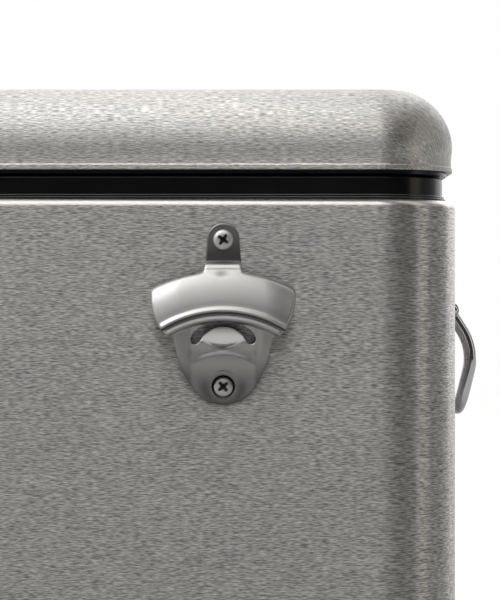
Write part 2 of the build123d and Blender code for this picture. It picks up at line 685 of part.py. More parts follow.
tab_top = shell_top - 12.0 - opener_z
screw_up = [z - opener_z for z in opener_screw_z]
cup_radius = 5.9
with BuildPart() as opener:
    with BuildSketch(Plane.XY):
        with BuildLine():
            Polyline((-9.4, 70.0), (-7.6, tab_top - 7.4))
            ThreePointArc((-7.6, tab_top - 7.4), (0, tab_top), (7.6, tab_top - 7.4))
            Polyline((7.6, tab_top - 7.4), (9.4, 70.0), (-9.4, 70.0))
        make_face()
    extrude(amount=opener_seat)
    add(hood_solid(0))
    add(lower_solid(0))
    add(hood_solid(opener_wall), mode=Mode.SUBTRACT)
    add(lower_solid(opener_wall), mode=Mode.SUBTRACT)
    with BuildSketch(Plane.XY):
        with Locations((0, screw_up[1])):
            Circle(cup_radius + 2.0)
    extrude(amount=5.0)
    with BuildSketch(Plane.XY.offset(opener_seat)):
        with Locations((0, screw_up[1])):
            Circle(cup_radius)
    extrude(amount=10.0, mode=Mode.SUBTRACT)
    with BuildSketch(Plane.XY):
        with Locations((0, screw_up[0]), (0, screw_up[1])):
            Circle(2.7)
    extrude(amount=10.0, mode=Mode.SUBTRACT)
    tongue_r, slot_r, tip_up = 12.9, 18.2, 48.6
    with BuildSketch(Plane.XY):
        with Locations((0, tip_up + 3.4 - slot_r)):
            Circle(slot_r)
        with Locations((0, tip_up - tongue_r)):
            Circle(tongue_r, mode=Mode.SUBTRACT)
        with Locations((0, tip_up - 8.0 - 20.0)):
            Rectangle(60.0, 40.0, mode=Mode.SUBTRACT)
    extrude(amount=24.0, mode=Mode.SUBTRACT)
finish(opener.part.moved(Plane(origin=opener_place(0, 0), x_dir=(1, 0, 0), z_dir=(0, -1, 0)).location), "opener")
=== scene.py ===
"""The looks of a steel-clad cooler chest: its skins, fittings, finishes and a plain studio around it."""

import math

import bmesh
import bpy
import numpy as np
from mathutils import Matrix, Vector


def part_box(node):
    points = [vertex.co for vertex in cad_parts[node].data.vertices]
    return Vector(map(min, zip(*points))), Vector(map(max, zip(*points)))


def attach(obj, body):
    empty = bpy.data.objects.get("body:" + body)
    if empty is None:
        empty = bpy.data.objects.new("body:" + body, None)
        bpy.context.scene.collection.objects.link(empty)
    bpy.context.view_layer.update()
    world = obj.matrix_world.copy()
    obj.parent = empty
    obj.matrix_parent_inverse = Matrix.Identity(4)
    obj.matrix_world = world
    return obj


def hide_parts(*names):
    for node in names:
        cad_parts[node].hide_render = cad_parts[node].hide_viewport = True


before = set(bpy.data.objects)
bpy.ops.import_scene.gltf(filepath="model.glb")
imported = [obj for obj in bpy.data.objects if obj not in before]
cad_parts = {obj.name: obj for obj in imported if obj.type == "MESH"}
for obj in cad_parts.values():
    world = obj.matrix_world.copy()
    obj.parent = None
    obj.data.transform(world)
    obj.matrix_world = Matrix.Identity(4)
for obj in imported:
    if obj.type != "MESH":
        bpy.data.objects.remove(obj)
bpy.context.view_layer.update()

bl_info = {
    "name": "Cooler Chest",
    "version": (1, 0, 0),
    "blender": (4, 5, 0),
    "location": "3D View > Sidebar > Cooler Chest",
    "description": "Builds the skins, fittings and finishes of a steel-clad cooler chest, and its studio",
    "category": "Add Mesh",
}

MM = 0.001  # the shapes below are worked out in millimetres, and made in metres


def box(node):
    """Lowest and highest corner of a CAD node at rest, in millimetres."""
    low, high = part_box(node)
    return np.array(low) / MM, np.array(high) / MM


SHELL_LOW, SHELL_HIGH = box("body_shell")
LID_LOW, LID_HIGH = box("lid_shell")
RIM_LOW, RIM_HIGH = box("top_rim")
PAN_LOW, PAN_HIGH = box("base_pan")
LEFT, FRONT, SHELL_BOTTOM = SHELL_LOW
RIGHT, BACK, SHELL_TOP = SHELL_HIGH
CORNER = 42.0  # cladding's corner radius, seen from above


# ---------------------------------------------------------------- settings


class ChestSizes(bpy.types.PropertyGroup):
    """Sizes that a maker would change without touching the frame."""

    shoulder: bpy.props.FloatProperty(
        name="Shoulder radius", description="Roll of the cladding's top edge",
        default=0.004, min=0.001, max=0.008, unit="LENGTH")
    hem: bpy.props.FloatProperty(
        name="Lid hem", description="Radius of the rolled bead along the lid's bottom edge",
        default=0.0011, min=0.0005, max=0.002, unit="LENGTH")
    lid_round: bpy.props.FloatProperty(
        name="Lid round", description="Radius that turns the lid's skirt into its top",
        default=0.03, min=0.02, max=0.035, unit="LENGTH")
    sheet: bpy.props.FloatProperty(
        name="Sheet", description="Thickness of the steel sheet",
        default=0.0008, min=0.0005, max=0.0015, unit="LENGTH")
    grain: bpy.props.FloatProperty(
        name="Grain strength", description="How strongly the brushed lines show",
        default=1.0, min=0.0, max=3.0, subtype="FACTOR")


class ChestColours(bpy.types.PropertyGroup):
    """Base colours of the finishes."""

    steel: bpy.props.FloatVectorProperty(
        name="Steel", description="Brushed stainless sheet",
        default=(0.53, 0.52, 0.505), min=0.0, max=1.0, subtype="COLOR")
    plate: bpy.props.FloatVectorProperty(
        name="Plate", description="Satin pressed plates and the opener",
        default=(0.54, 0.53, 0.515), min=0.0, max=1.0, subtype="COLOR")
    chrome: bpy.props.FloatVectorProperty(
        name="Chrome", description="Polished rods and pins",
        default=(0.80, 0.80, 0.81), min=0.0, max=1.0, subtype="COLOR")
    black: bpy.props.FloatVectorProperty(
        name="Black plastic", description="Collar, base pan, lid pan and drain",
        default=(0.003, 0.003, 0.0033), min=0.0, max=1.0, subtype="COLOR")
    tub: bpy.props.FloatVectorProperty(
        name="Tub plastic", description="Ice tub",
        default=(0.76, 0.76, 0.75), min=0.0, max=1.0, subtype="COLOR")
    rubber: bpy.props.FloatVectorProperty(
        name="Rubber", description="Feet, gasket and seals",
        default=(0.018, 0.018, 0.018), min=0.0, max=1.0, subtype="COLOR")
    floor: bpy.props.FloatVectorProperty(
        name="Floor", description="Studio floor",
        default=(0.99, 0.99, 0.99), min=0.0, max=1.0, subtype="COLOR")


# ---------------------------------------------------------------- curves and profiles


def soften(points, radius, steps=5, closed=True):
    """Rounds the corners of a line of points, in two or three dimensions.

    Each corner P becomes a true arc: with A and B at radius * tan(turn / 2) along its two runs, the arc is
    ((1-u)^2 A + 2 w u (1-u) P + u^2 B) / ((1-u)^2 + 2 w u (1-u) + u^2), where w is cos(turn / 2).
    """
    points = np.asarray(points, float)
    radius = np.broadcast_to(np.asarray(radius, float), (len(points),)).copy()
    before, after = np.roll(points, 1, 0) - points, np.roll(points, -1, 0) - points
    if not closed:
        before[0], after[-1] = points[0] - points[1], points[-1] - points[-2]
        radius[0] = radius[-1] = 0.0
    run_a, run_b = np.linalg.norm(before, axis=1), np.linalg.norm(after, axis=1)
    before, after = before / run_a[:, None], after / run_b[:, None]
    half_turn = (math.pi - np.arccos(np.clip((before * after).sum(1), -1, 1))) / 2
    reach = np.minimum(radius * np.tan(np.minimum(half_turn, 1.5)), 0.49 * np.minimum(run_a, run_b))
    weight = np.cos(half_turn)[:, None, None]
    u = np.linspace(0, 1, steps + 1)[None, :, None]
    start = (points + before * reach[:, None])[:, None]
    end = (points + after * reach[:, None])[:, None]
    bow = 2 * weight * u * (1 - u)
    arc = ((1 - u) ** 2 * start + bow * points[:, None] + u**2 * end) / ((1 - u) ** 2 + bow + u**2)
    arc = arc.reshape(-1, points.shape[1])
    keep = np.ones(len(arc), bool)
    keep[1:] = np.linalg.norm(np.diff(arc, axis=0), axis=1) > 1e-6
    return arc[keep]


def smooth(low, high, x):
    """The S-curve 3t^2 - 2t^3 of t = (x - low) / (high - low), held to 0..1."""
    t = np.clip((x - low) / (high - low), 0, 1)
    return t * t * (3 - 2 * t)


def along(x, table):
    """A smooth curve through (position, value) rows: cubic runs whose slopes are the mean of the chords."""
    xs, ys = np.array(sorted(table)).T
    chord = np.diff(ys) / np.diff(xs)
    slope = np.concatenate([[chord[0]], (chord[1:] + chord[:-1]) / 2, [chord[-1]]])
    i = np.clip(np.searchsorted(xs, x) - 1, 0, len(chord) - 1)
    run = (xs[1:] - xs[:-1])[i]
    t = np.clip((x - xs[i]) / run, 0, 1)
    return (ys[i] * (1 + 2 * t) * (1 - t) ** 2 + slope[i] * run * t * (1 - t) ** 2
            + ys[i + 1] * t * t * (3 - 2 * t) - slope[i + 1] * run * t * t * (1 - t))


# ---------------------------------------------------------------- surfaces


def quads(rows, columns, closed_rows, closed_columns):
    """Point numbers of the quads between neighbours on a grid."""
    i = np.arange(rows if closed_rows else rows - 1)[:, None]
    j = np.arange(columns if closed_columns else columns - 1)[None, :]
    i2, j2 = (i + 1) % rows, (j + 1) % columns
    corners = [i * columns + j, i * columns + j2, i2 * columns + j2, i2 * columns + j]
    return np.stack([np.broadcast_to(c, (i.shape[0], j.shape[1])) for c in corners], -1).reshape(-1, 4)


class Shape:
    """Points and faces of one piece, gathered from several surfaces, in millimetres."""

    def __init__(self):
        self.points, self.faces, self.sheet = [], [], []
        self.count = 0

    def add_points(self, points, sheet=None):
        """Keeps the points, with any place on the flat sheet, and returns the first one's number."""
        points = np.asarray(points, float).reshape(-1, 3)
        first = self.count
        self.points.append(points)
        flat = np.zeros((len(points), 2)) if sheet is None else np.asarray(sheet, float).reshape(-1, 2)
        self.sheet.append(flat)
        self.count += len(points)
        return first

    def surface(self, grid, closed_rows=False, closed_columns=True, sheet=None, flip=False):
        """A grid of points (rows, columns, 3) as quads."""
        first = self.add_points(grid, sheet)
        numbers = quads(grid.shape[0], grid.shape[1], closed_rows, closed_columns) + first
        self.faces += (numbers[:, ::-1] if flip else numbers).tolist()
        return self

    def cap(self, ring, flip=False):
        """One flat face over a closed ring of points, which runs anticlockwise as seen from outside."""
        first = self.add_points(ring)
        numbers = np.arange(len(ring)) + first
        self.faces.append((numbers[::-1] if flip else numbers).tolist())
        return self

    def join(self, other, place=None):
        """Adds another shape, moved by a 4x4 place."""
        points, sheet = np.concatenate(other.points), np.concatenate(other.sheet)
        if place is not None:
            points = points @ place[:3, :3].T + place[:3, 3]
        first = self.add_points(points, sheet)
        self.faces += [[number + first for number in face] for face in other.faces]
        return self

    def make(self, name, body, slot, finish, replaces=(), crease=32.0, sew=True):
        """Makes the mesh object, sews its seams, and hands it to its CAD body."""
        mesh = bpy.data.meshes.new(name)
        mesh.from_pydata((np.concatenate(self.points) * MM).tolist(), [], self.faces)
        sheet = np.concatenate(self.sheet) * MM
        if sheet.any():
            corner = np.empty(len(mesh.loops), np.int32)
            mesh.loops.foreach_get("vertex_index", corner)
            mesh.uv_layers.new(name="sheet").data.foreach_set("uv", sheet[corner].ravel().astype(np.float32))
        if sew:
            work = bmesh.new()
            work.from_mesh(mesh)
            bmesh.ops.remove_doubles(work, verts=work.verts, dist=2e-6)
            bmesh.ops.dissolve_degenerate(work, edges=work.edges, dist=1e-7)
            work.to_mesh(mesh)
            work.free()
        mesh.shade_smooth()
        mesh.set_sharp_from_angle(angle=math.radians(crease))
        piece = bpy.data.objects.new(name, mesh)
        bpy.context.scene.collection.objects.link(piece)
        mesh.materials.append(finish)
        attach(piece, body)
        if replaces:
            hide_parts(*replaces)
        return piece


def plan(half_x, half_y, radius, per_corner=14, per_x=1, per_y=1):
    """Points and outward directions round a rounded rectangle, anticlockwise.

    A point at an inset d is centre + outward * (radius - d): the centres lie on the rectangle through the
    four corner centres, and the directions turn through a quarter at each.
    """
    inner_x, inner_y = half_x - radius, half_y - radius
    centres, ways = [], []
    corners = [(inner_x, -inner_y), (inner_x, inner_y), (-inner_x, inner_y), (-inner_x, -inner_y)]
    for k, here in enumerate(corners):
        angle = np.linspace(k - 1, k, per_corner + 1) * math.pi / 2
        way = np.stack([np.cos(angle), np.sin(angle)], -1)
        centres.append(np.repeat([here], per_corner + 1, 0))
        ways.append(way)
        count = per_y if k % 2 == 0 else per_x
        step = np.linspace(0, 1, count + 1)[1:-1, None]
        there = np.array(corners[(k + 1) % 4])
        centres.append(np.array(here) * (1 - step) + there * step)
        ways.append(np.repeat(way[-1:], len(step), 0))
    return np.concatenate(centres), np.concatenate(ways), radius


def carried(outline, profile):
    """A profile of (inset, height) rows carried round a plan: every row of points is one loop of the plan."""
    centres, ways, radius = outline
    profile = np.asarray(profile, float)
    flat = centres[None] + ways[None] * (radius - profile[:, :1, None])
    height = np.broadcast_to(profile[:, 1][:, None, None], flat.shape[:2] + (1,))
    return np.concatenate([flat, height], -1)


def moulding(outline, profile):
    """A closed profile carried round a plan, as a shape. It runs up the outside and down the inside."""
    return Shape().surface(carried(outline, profile), closed_rows=True)


def slab(half_x, half_y, radius, thickness, edge=0.4, per_corner=8):
    """A flat plate with softened edges, lying on z = 0: its profile goes up the side and in over the top."""
    corners = [(edge, 0), (0, 0), (0, thickness), (edge * 2, thickness)]
    profile = soften(corners, [0, edge * 0.4, edge, 0], 4, False)
    grid = carried(plan(half_x, half_y, radius, per_corner), profile)
    return Shape().surface(grid).cap(grid[-1]).cap(grid[0], flip=True)


def turned(profile, around=40, closed=False):
    """A profile of (radius, height) rows turned round Z, up the outside, pole to pole or closed."""
    profile = np.asarray(profile, float)
    angle = np.arange(around) * 2 * math.pi / around
    x, y = np.cos(angle) * profile[:, :1], np.sin(angle) * profile[:, :1]
    height = np.broadcast_to(profile[:, 1:], x.shape)
    return Shape().surface(np.stack([x, y, height], -1), closed_rows=closed)


def bar(outline, low, high, edge=0.35):
    """A closed side outline of (y, z) rows, anticlockwise from +X, carried along X with softened ends.

    The end rows are drawn in by the edge radius along the outline's own normals.
    """
    outline = np.asarray(outline, float)
    along_line = np.roll(outline, -1, 0) - np.roll(outline, 1, 0)
    along_line /= np.linalg.norm(along_line, axis=1)[:, None]
    outward = np.stack([along_line[:, 1], -along_line[:, 0]], -1)
    x = np.array([low, low + edge * 0.3, low + edge, high - edge, high - edge * 0.3, high])
    drawn_in = np.array([edge, edge * 0.3, 0, 0, edge * 0.3, edge])
    flat = outline[None] - outward[None] * drawn_in[:, None, None]
    across = np.broadcast_to(x[:, None, None], flat.shape[:2] + (1,))
    grid = np.concatenate([across, flat], -1)
    return Shape().surface(grid, flip=True).cap(grid[-1]).cap(grid[0], flip=True)


def rod(path, radius, around=24):
    """A round rod along a path of points, with softly domed ends.

    Each ring is path + r (side cos a + up sin a), where side is the cross product of the X axis and the
    path's own direction.
    """
    path = np.asarray(path, float)
    way = np.gradient(path, axis=0)
    way /= np.linalg.norm(way, axis=1)[:, None]
    dome = np.array([[0.0, 0.0], [0.5, 0.12], [0.85, 0.4], [1.0, 0.9]]) * [1.0, 0.5]
    radius = np.broadcast_to(radius, len(path))
    stations = np.concatenate([path[:1] + way[:1] * radius[0] * dome[:, 1:], path[1:-1],
                               path[-1:] - way[-1:] * radius[-1] * dome[::-1, 1:]])
    ways = np.concatenate([np.repeat(way[:1], 4, 0), way[1:-1], np.repeat(way[-1:], 4, 0)])
    reach = np.concatenate([dome[:, 0] * radius[0], radius[1:-1], dome[::-1, 0] * radius[-1]])
    side = np.cross((1.0, 0.0, 0.0), ways)
    side /= np.linalg.norm(side, axis=1)[:, None]
    up = np.cross(ways, side)
    angle = np.arange(around) * 2 * math.pi / around
    ring = side[:, None] * np.cos(angle)[:, None] + up[:, None] * np.sin(angle)[:, None]
    return Shape().surface(stations[:, None] + ring * reach[:, None, None])


OUTWARD = {"front": (0, -1, 0), "back": (0, 1, 0), "right": (1, 0, 0), "left": (-1, 0, 0), "down": (0, 0, -1),
           "up": (0, 0, 1)}


def facing(x, y, z, out):
    """A 4x4 place at a point of a face: local +Z leaves the face, and local X runs across it."""
    outward = np.array(OUTWARD[out], float)
    across = np.array((0, 1, 0) if out in ("right", "left") else (1, 0, 0), float)
    place = np.eye(4)
    place[:3, :3] = np.stack([across, np.cross(outward, across), outward], -1)
    place[:3, 3] = x, y, z
    return place


def pivot(length, radius, edge, x, y, z):
    """A pin along X with softened ends, its middle at a point."""
    half = length / 2
    profile = soften([(0, -half), (radius, -half), (radius, half), (0, half)], [0, edge, edge, 0], 5, False)
    place = np.eye(4)
    place[:3, :3] = [[0, 0, 1], [1, 0, 0], [0, 1, 0]]
    place[:3, 3] = x, y, z
    return Shape().join(turned(profile, 24), place)


# ---------------------------------------------------------------- shader maths


class Value:
    """A number or colour on its way through a material: it adds, multiplies and so on like a plain number."""

    def __init__(self, graph, socket):
        self.graph, self.socket = graph, socket

    def math(self, operation, *others):
        """One Math node with this value first."""
        return self.graph.value("ShaderNodeMath", {"operation": operation}, dict(enumerate((self,) + others)))

    def __add__(self, other): return self.math("ADD", other)
    def __mul__(self, other): return self.math("MULTIPLY", other)
    def __sub__(self, other): return self.math("SUBTRACT", other)
    def __truediv__(self, other): return self.math("DIVIDE", other)
    def __pow__(self, other): return self.math("POWER", other)
    def __neg__(self): return self.math("MULTIPLY", -1.0)
    def __rsub__(self, other): return (-self).math("ADD", other)
    def __rtruediv__(self, other): return self.graph.constant(other).math("DIVIDE", self)
    __radd__, __rmul__ = __add__, __mul__

    def smooth(self, low, high):
        """0 below low, 1 above high, and an S-curve between."""
        return self.graph.value("ShaderNodeMapRange", {"interpolation_type": "SMOOTHSTEP"},
                                {"Value": self, "From Min": low, "From Max": high})

    def window(self, low, high, soft):
        """1 between low and high, falling to 0 over a soft margin at each end."""
        return self.smooth(low - soft, low + soft) * (1.0 - self.smooth(high - soft, high + soft))


class Graph:
    """A node tree, with one method for every kind of node."""

    def __init__(self, tree):
        self.tree = tree
        tree.nodes.clear()

    def node(self, kind, settings=None, inputs=None):
        """Makes a node, sets its options, and sets or links its inputs."""
        node = self.tree.nodes.new(kind)
        for key, value in (settings or {}).items():
            setattr(node, key, value)
        for key, value in (inputs or {}).items():
            if isinstance(value, Value):
                self.tree.links.new(value.socket, node.inputs[key])
            else:
                node.inputs[key].default_value = value
        return node

    def value(self, kind, settings=None, inputs=None, output=0):
        """A node's output as a value."""
        return Value(self, self.node(kind, settings, inputs).outputs[output])

    def constant(self, number):
        """A plain number as a value."""
        return self.value("ShaderNodeMath", {"operation": "ADD"}, {0: number, 1: 0.0})

    def axes(self, vector):
        """The three parts of a vector."""
        node = self.node("ShaderNodeSeparateXYZ", {}, {0: vector})
        return [Value(self, socket) for socket in node.outputs]

    def vector(self, x, y, z):
        """A vector from three parts."""
        return self.value("ShaderNodeCombineXYZ", {}, {0: x, 1: y, 2: z})

    def noise(self, where, scale, detail=2.0, rough=0.5):
        """Fractal noise, from 0 to 1 with 0.5 in the middle."""
        return self.value("ShaderNodeTexNoise", {}, {
            "Vector": where, "Scale": scale, "Detail": detail, "Roughness": rough})

    def drawn_out(self, where, squeeze, scale, detail):
        """Noise whose blobs are squeezed along each axis by the three numbers given."""
        squeezed = self.value("ShaderNodeMapping", {}, {"Vector": where, "Scale": squeeze})
        return self.noise(squeezed, scale, detail)

    def mix(self, factor, a, b):
        """A colour between a and b."""
        return self.value("ShaderNodeMix", {"data_type": "RGBA"}, {0: factor, 6: a, 7: b}, 2)

    def scale(self, colour, factor):
        """A colour made lighter or darker."""
        return self.value("ShaderNodeVectorMath", {"operation": "SCALE"}, {0: colour, 3: factor})

    def bump(self, height, distance, strength=1.0, normal=None):
        """A normal bent by a height."""
        inputs = {"Height": height, "Distance": distance, "Strength": strength}
        if normal is not None:
            inputs["Normal"] = normal
        return self.value("ShaderNodeBump", {}, inputs)


def rgba(colour):
    """A colour with full alpha."""
    return (colour[0], colour[1], colour[2], 1.0)


def new_finish(name):
    """A new empty material and its graph."""
    material = bpy.data.materials.new(name)
    material.use_nodes = True
    return material, Graph(material.node_tree)


def settle(graph, **inputs):
    """Ends a material with the Principled shader. Inputs are named with underscores for spaces."""
    named = {key.replace("_", " "): given for key, given in inputs.items()}
    shader = graph.node("ShaderNodeBsdfPrincipled", {}, named)
    output = graph.node("ShaderNodeOutputMaterial")
    graph.tree.links.new(shader.outputs[0], output.inputs["Surface"])


# ---------------------------------------------------------------- finishes


def brushed(name, colour, from_sheet, rough, grain, turn):
    """Sheet steel with long fine scratches along one direction, faint smears and slow waves in the sheet.

    The scratches run along the flat sheet's first axis, or level round the walls. On the walls they fade out
    on the rolled shoulder, whose colour is made brighter there: a painted highlight.
    """
    material, graph = new_finish(name)
    if from_sheet:
        flat = graph.axes(graph.value("ShaderNodeUVMap", {"uv_map": "sheet"}))
        lengthwise, across, third = flat[0], flat[1], 0.0
        tangent = graph.value("ShaderNodeTangent", {"direction_type": "UV_MAP", "uv_map": "sheet"})
    else:
        lengthwise, third, across = graph.axes(graph.value("ShaderNodeTexCoord", output="Object"))
        tangent = graph.value("ShaderNodeTangent", {"direction_type": "RADIAL", "axis": "Z"})

    def streaks(length, width, shift, detail=1.0):
        """Noise drawn out along the grain: length and width are the marks' sizes in metres."""
        depth = shift if from_sheet else third * (1 / length)
        where = graph.vector(lengthwise * (1 / length) + shift, across * (1 / width) + shift * 3.1, depth)
        return graph.noise(where, 1.0, detail, 0.5)

    dashes = streaks(0.0034, 0.00036, 0.0).smooth(0.30, 0.70)
    longer = streaks(0.011, 0.00045, 7.3).smooth(0.32, 0.68)
    fibre = streaks(0.060, 0.0009, 3.7)
    smear = streaks(0.13, 0.040, 11.9, 2.0)
    marks = (dashes - 0.5) * 0.80 + (longer - 0.5) * 0.26 + (fibre - 0.5) * 0.24
    rolled = 0.0
    if not from_sheet:
        rolled = across.smooth((SHELL_TOP - 3.6) * MM, (SHELL_TOP - 2.6) * MM)
        marks = marks * (1.0 - rolled * 0.75)
    # rolled * 0.55 lightens the shoulder's colour: a painted highlight.
    shade = 1.0 + marks * (1.15 * grain) + (smear - 0.5) * 0.10 + rolled * 0.55
    warmer = [part * warmth for part, warmth in zip(colour, (1.01, 1.0, 0.985))]
    warm = graph.mix(smear.smooth(0.35, 0.65), rgba(colour), rgba(warmer))
    roughness = marks * (-0.05 * grain) + rough + (smear - 0.5) * 0.04 - rolled * 0.05
    wave = graph.bump(graph.noise(graph.value("ShaderNodeTexCoord", output="Object"), 5.0, 1.0), 0.0005, 0.3)
    scratch = graph.bump(marks, 0.00004, 0.5 * grain, wave)
    settle(graph, Base_Color=graph.scale(warm, shade), Metallic=1.0,
           Roughness=roughness.math("MAXIMUM", 0.12), Normal=scratch,
           Anisotropic=1.0, Anisotropic_Rotation=turn, Tangent=tangent)
    return material


def worn_and_shaded_plate(name, colour, rough, speck=1.0, recess=False):
    """Satin plated steel: fine speckle, slow smears and a few soft scuffs.

    With recess, it darkens by the amount kept on the piece in thousandths, as the sheet's first axis: painted
    shade.
    """
    material, graph = new_finish(name)
    where = graph.value("ShaderNodeTexCoord", output="Object")
    speckle = graph.noise(where, 2600.0, 2.0)
    smear = graph.noise(where, 60.0, 3.0, 0.6)
    scuff = graph.drawn_out(where, (1.0, 1.0, 6.0), 190.0, 4.0)
    shade = 1.0 + (speckle - 0.5) * (0.14 * speck) + (smear - 0.5) * 0.16 - scuff.smooth(0.60, 0.80) * 0.05
    if recess:
        # Painted shade: darker by the amount kept on the sheet.
        depth = graph.axes(graph.value("ShaderNodeUVMap", {"uv_map": "sheet"}))[0] / MM
        shade = shade * (1.0 - depth.math("MINIMUM", 0.95))
    roughness = (speckle - 0.5) * 0.12 + (smear - 0.5) * 0.12 + scuff.smooth(0.58, 0.78) * 0.05 + rough
    bump = graph.bump(speckle * 0.6 + smear * 1.2, 0.00006, 0.5)
    settle(graph, Base_Color=graph.scale(colour, shade), Metallic=1.0, Roughness=roughness, Normal=bump)
    return material


def polished(name, colour, rough=0.06):
    """Chrome: nearly a mirror, with faint hairlines and fingering."""
    material, graph = new_finish(name)
    where = graph.value("ShaderNodeTexCoord", output="Object")
    film = graph.noise(where, 45.0, 3.0, 0.6)
    hair = graph.drawn_out(where, (1.0, 9.0, 1.0), 420.0, 2.0)
    shade = 1.0 + (film - 0.5) * 0.06
    roughness = film.smooth(0.45, 0.75) * 0.05 + (hair - 0.5) * 0.03 + rough
    settle(graph, Base_Color=graph.scale(colour, shade), Metallic=1.0, Roughness=roughness,
           Normal=graph.bump(film, 0.00004, 0.3))
    return material


def moulded(name, colour, rough, texture, scuffs, sheen=0.0, highlight_heights=()):
    """Moulded plastic or rubber: a fine pebbled skin with paler scuffs and dust in its slow patches.

    The last argument lists heights, in millimetres, of step edges that get a thin pale line, patchy along its
    length: painted highlights.
    """
    material, graph = new_finish(name)
    where = graph.value("ShaderNodeTexCoord", output="Object")
    pebble = graph.noise(where, 1500.0, 2.0)
    patch = graph.noise(where, 22.0, 4.0, 0.6)
    scratch = graph.drawn_out(where, (1.0, 1.0, 7.0), 130.0, 5.0)
    marks = scratch.smooth(0.58, 0.80) * scuffs + patch.smooth(0.45, 0.85) * (scuffs * 0.4)
    pale = [c + 0.03 for c in colour] if colour[0] < 0.3 else [c * 0.86 for c in colour]
    roughness = (pebble - 0.5) * 0.12 + (patch - 0.5) * 0.14 + marks * 0.15 + rough
    bump = graph.bump(pebble * texture + patch * 0.4, 0.00008, 0.6)
    skin = graph.mix(marks, rgba(colour), rgba(pale))
    # Painted highlights: a thin pale line round each listed height.
    for height in highlight_heights:
        line = graph.axes(where)[2].window((height - 0.14) * MM, (height + 0.14) * MM, 0.06 * MM)
        skin = graph.mix(line * (patch * 0.8 + 0.4), skin, (0.17, 0.17, 0.165, 1.0))
    settle(graph, Base_Color=skin, Roughness=roughness, Normal=bump,
           Sheen_Weight=sheen, Specular_IOR_Level=0.5)
    return material


FINISHES = {}


def make_finishes(context):
    """Every finish of the chest, by name."""
    colours, sizes = context.scene.chest_colours, context.scene.chest_sizes
    steel, plate, black = tuple(colours.steel), tuple(colours.plate), tuple(colours.black)
    FINISHES.update({
        "cladding": brushed("brushed_cladding", steel, False, 0.33, sizes.grain, 0.25),
        "lid": brushed("brushed_lid", tuple(c * 1.22 for c in steel), True, 0.33, sizes.grain * 0.9, 0.25),
        "plate": worn_and_shaded_plate("satin_plate", plate, 0.32),
        # The opener and the screws darken by amounts kept on their pieces: painted shade, and a painted dark
        # reflection on the opener's tab.
        "opener": worn_and_shaded_plate("opener_plate", plate, 0.36, 1.3, True),
        "screw": worn_and_shaded_plate("screw_steel", tuple(c * 1.25 for c in plate), 0.46, recess=True),
        "chrome": polished("polished_rod", tuple(colours.chrome)),
        "black": moulded("black_moulding", black, 0.22, 0.5, 0.08),
        # The collar's two steps get thin pale lines: painted highlights.
        "collar": moulded("collar_moulding", black, 0.20, 0.5, 0.08,
                          highlight_heights=(SHELL_TOP + 1.1, SHELL_TOP + 2.3)),
        "tub": moulded("tub_moulding", tuple(colours.tub), 0.24, 0.5, 0.2),
        "rubber": moulded("black_rubber", tuple(colours.rubber), 0.62, 1.6, 0.4, 0.1),
        "foam": moulded("foam_core", (0.72, 0.62, 0.36), 0.8, 2.5, 0.2),
        "strip": worn_and_shaded_plate("galvanised_strip", (0.42, 0.43, 0.44), 0.42),
    })


# ---------------------------------------------------------------- the pieces


class ChestOperator(bpy.types.Operator):
    """Shared options of the operators."""

    bl_options = {"REGISTER", "UNDO"}


class CHEST_OT_cladding(ChestOperator):
    """The body's steel cladding, with its rolled shoulder turned in to the collar"""

    bl_idname = "chest.cladding"
    bl_label = "Body cladding"

    def execute(self, context):
        sizes = context.scene.chest_sizes
        sheet, shoulder, turned_in = sizes.sheet / MM, sizes.shoulder / MM, 9.0
        low, high = SHELL_BOTTOM, SHELL_TOP
        outer = [(sheet * 0.5, low), (0, low), (0, high), (turned_in, high)]
        inner = [(turned_in, high - sheet), (sheet, high - sheet), (sheet, low)]
        radii = [0, 0.5, shoulder, 0.3, 0.3, shoulder - sheet, 0.3]
        profile = soften(outer + inner, radii, 10)
        shape = moulding(plan(RIGHT, BACK, CORNER, per_corner=28), profile)
        shape.make("body_cladding", "chest", "brushed_steel", FINISHES["cladding"], ["body_shell"])
        return {"FINISHED"}


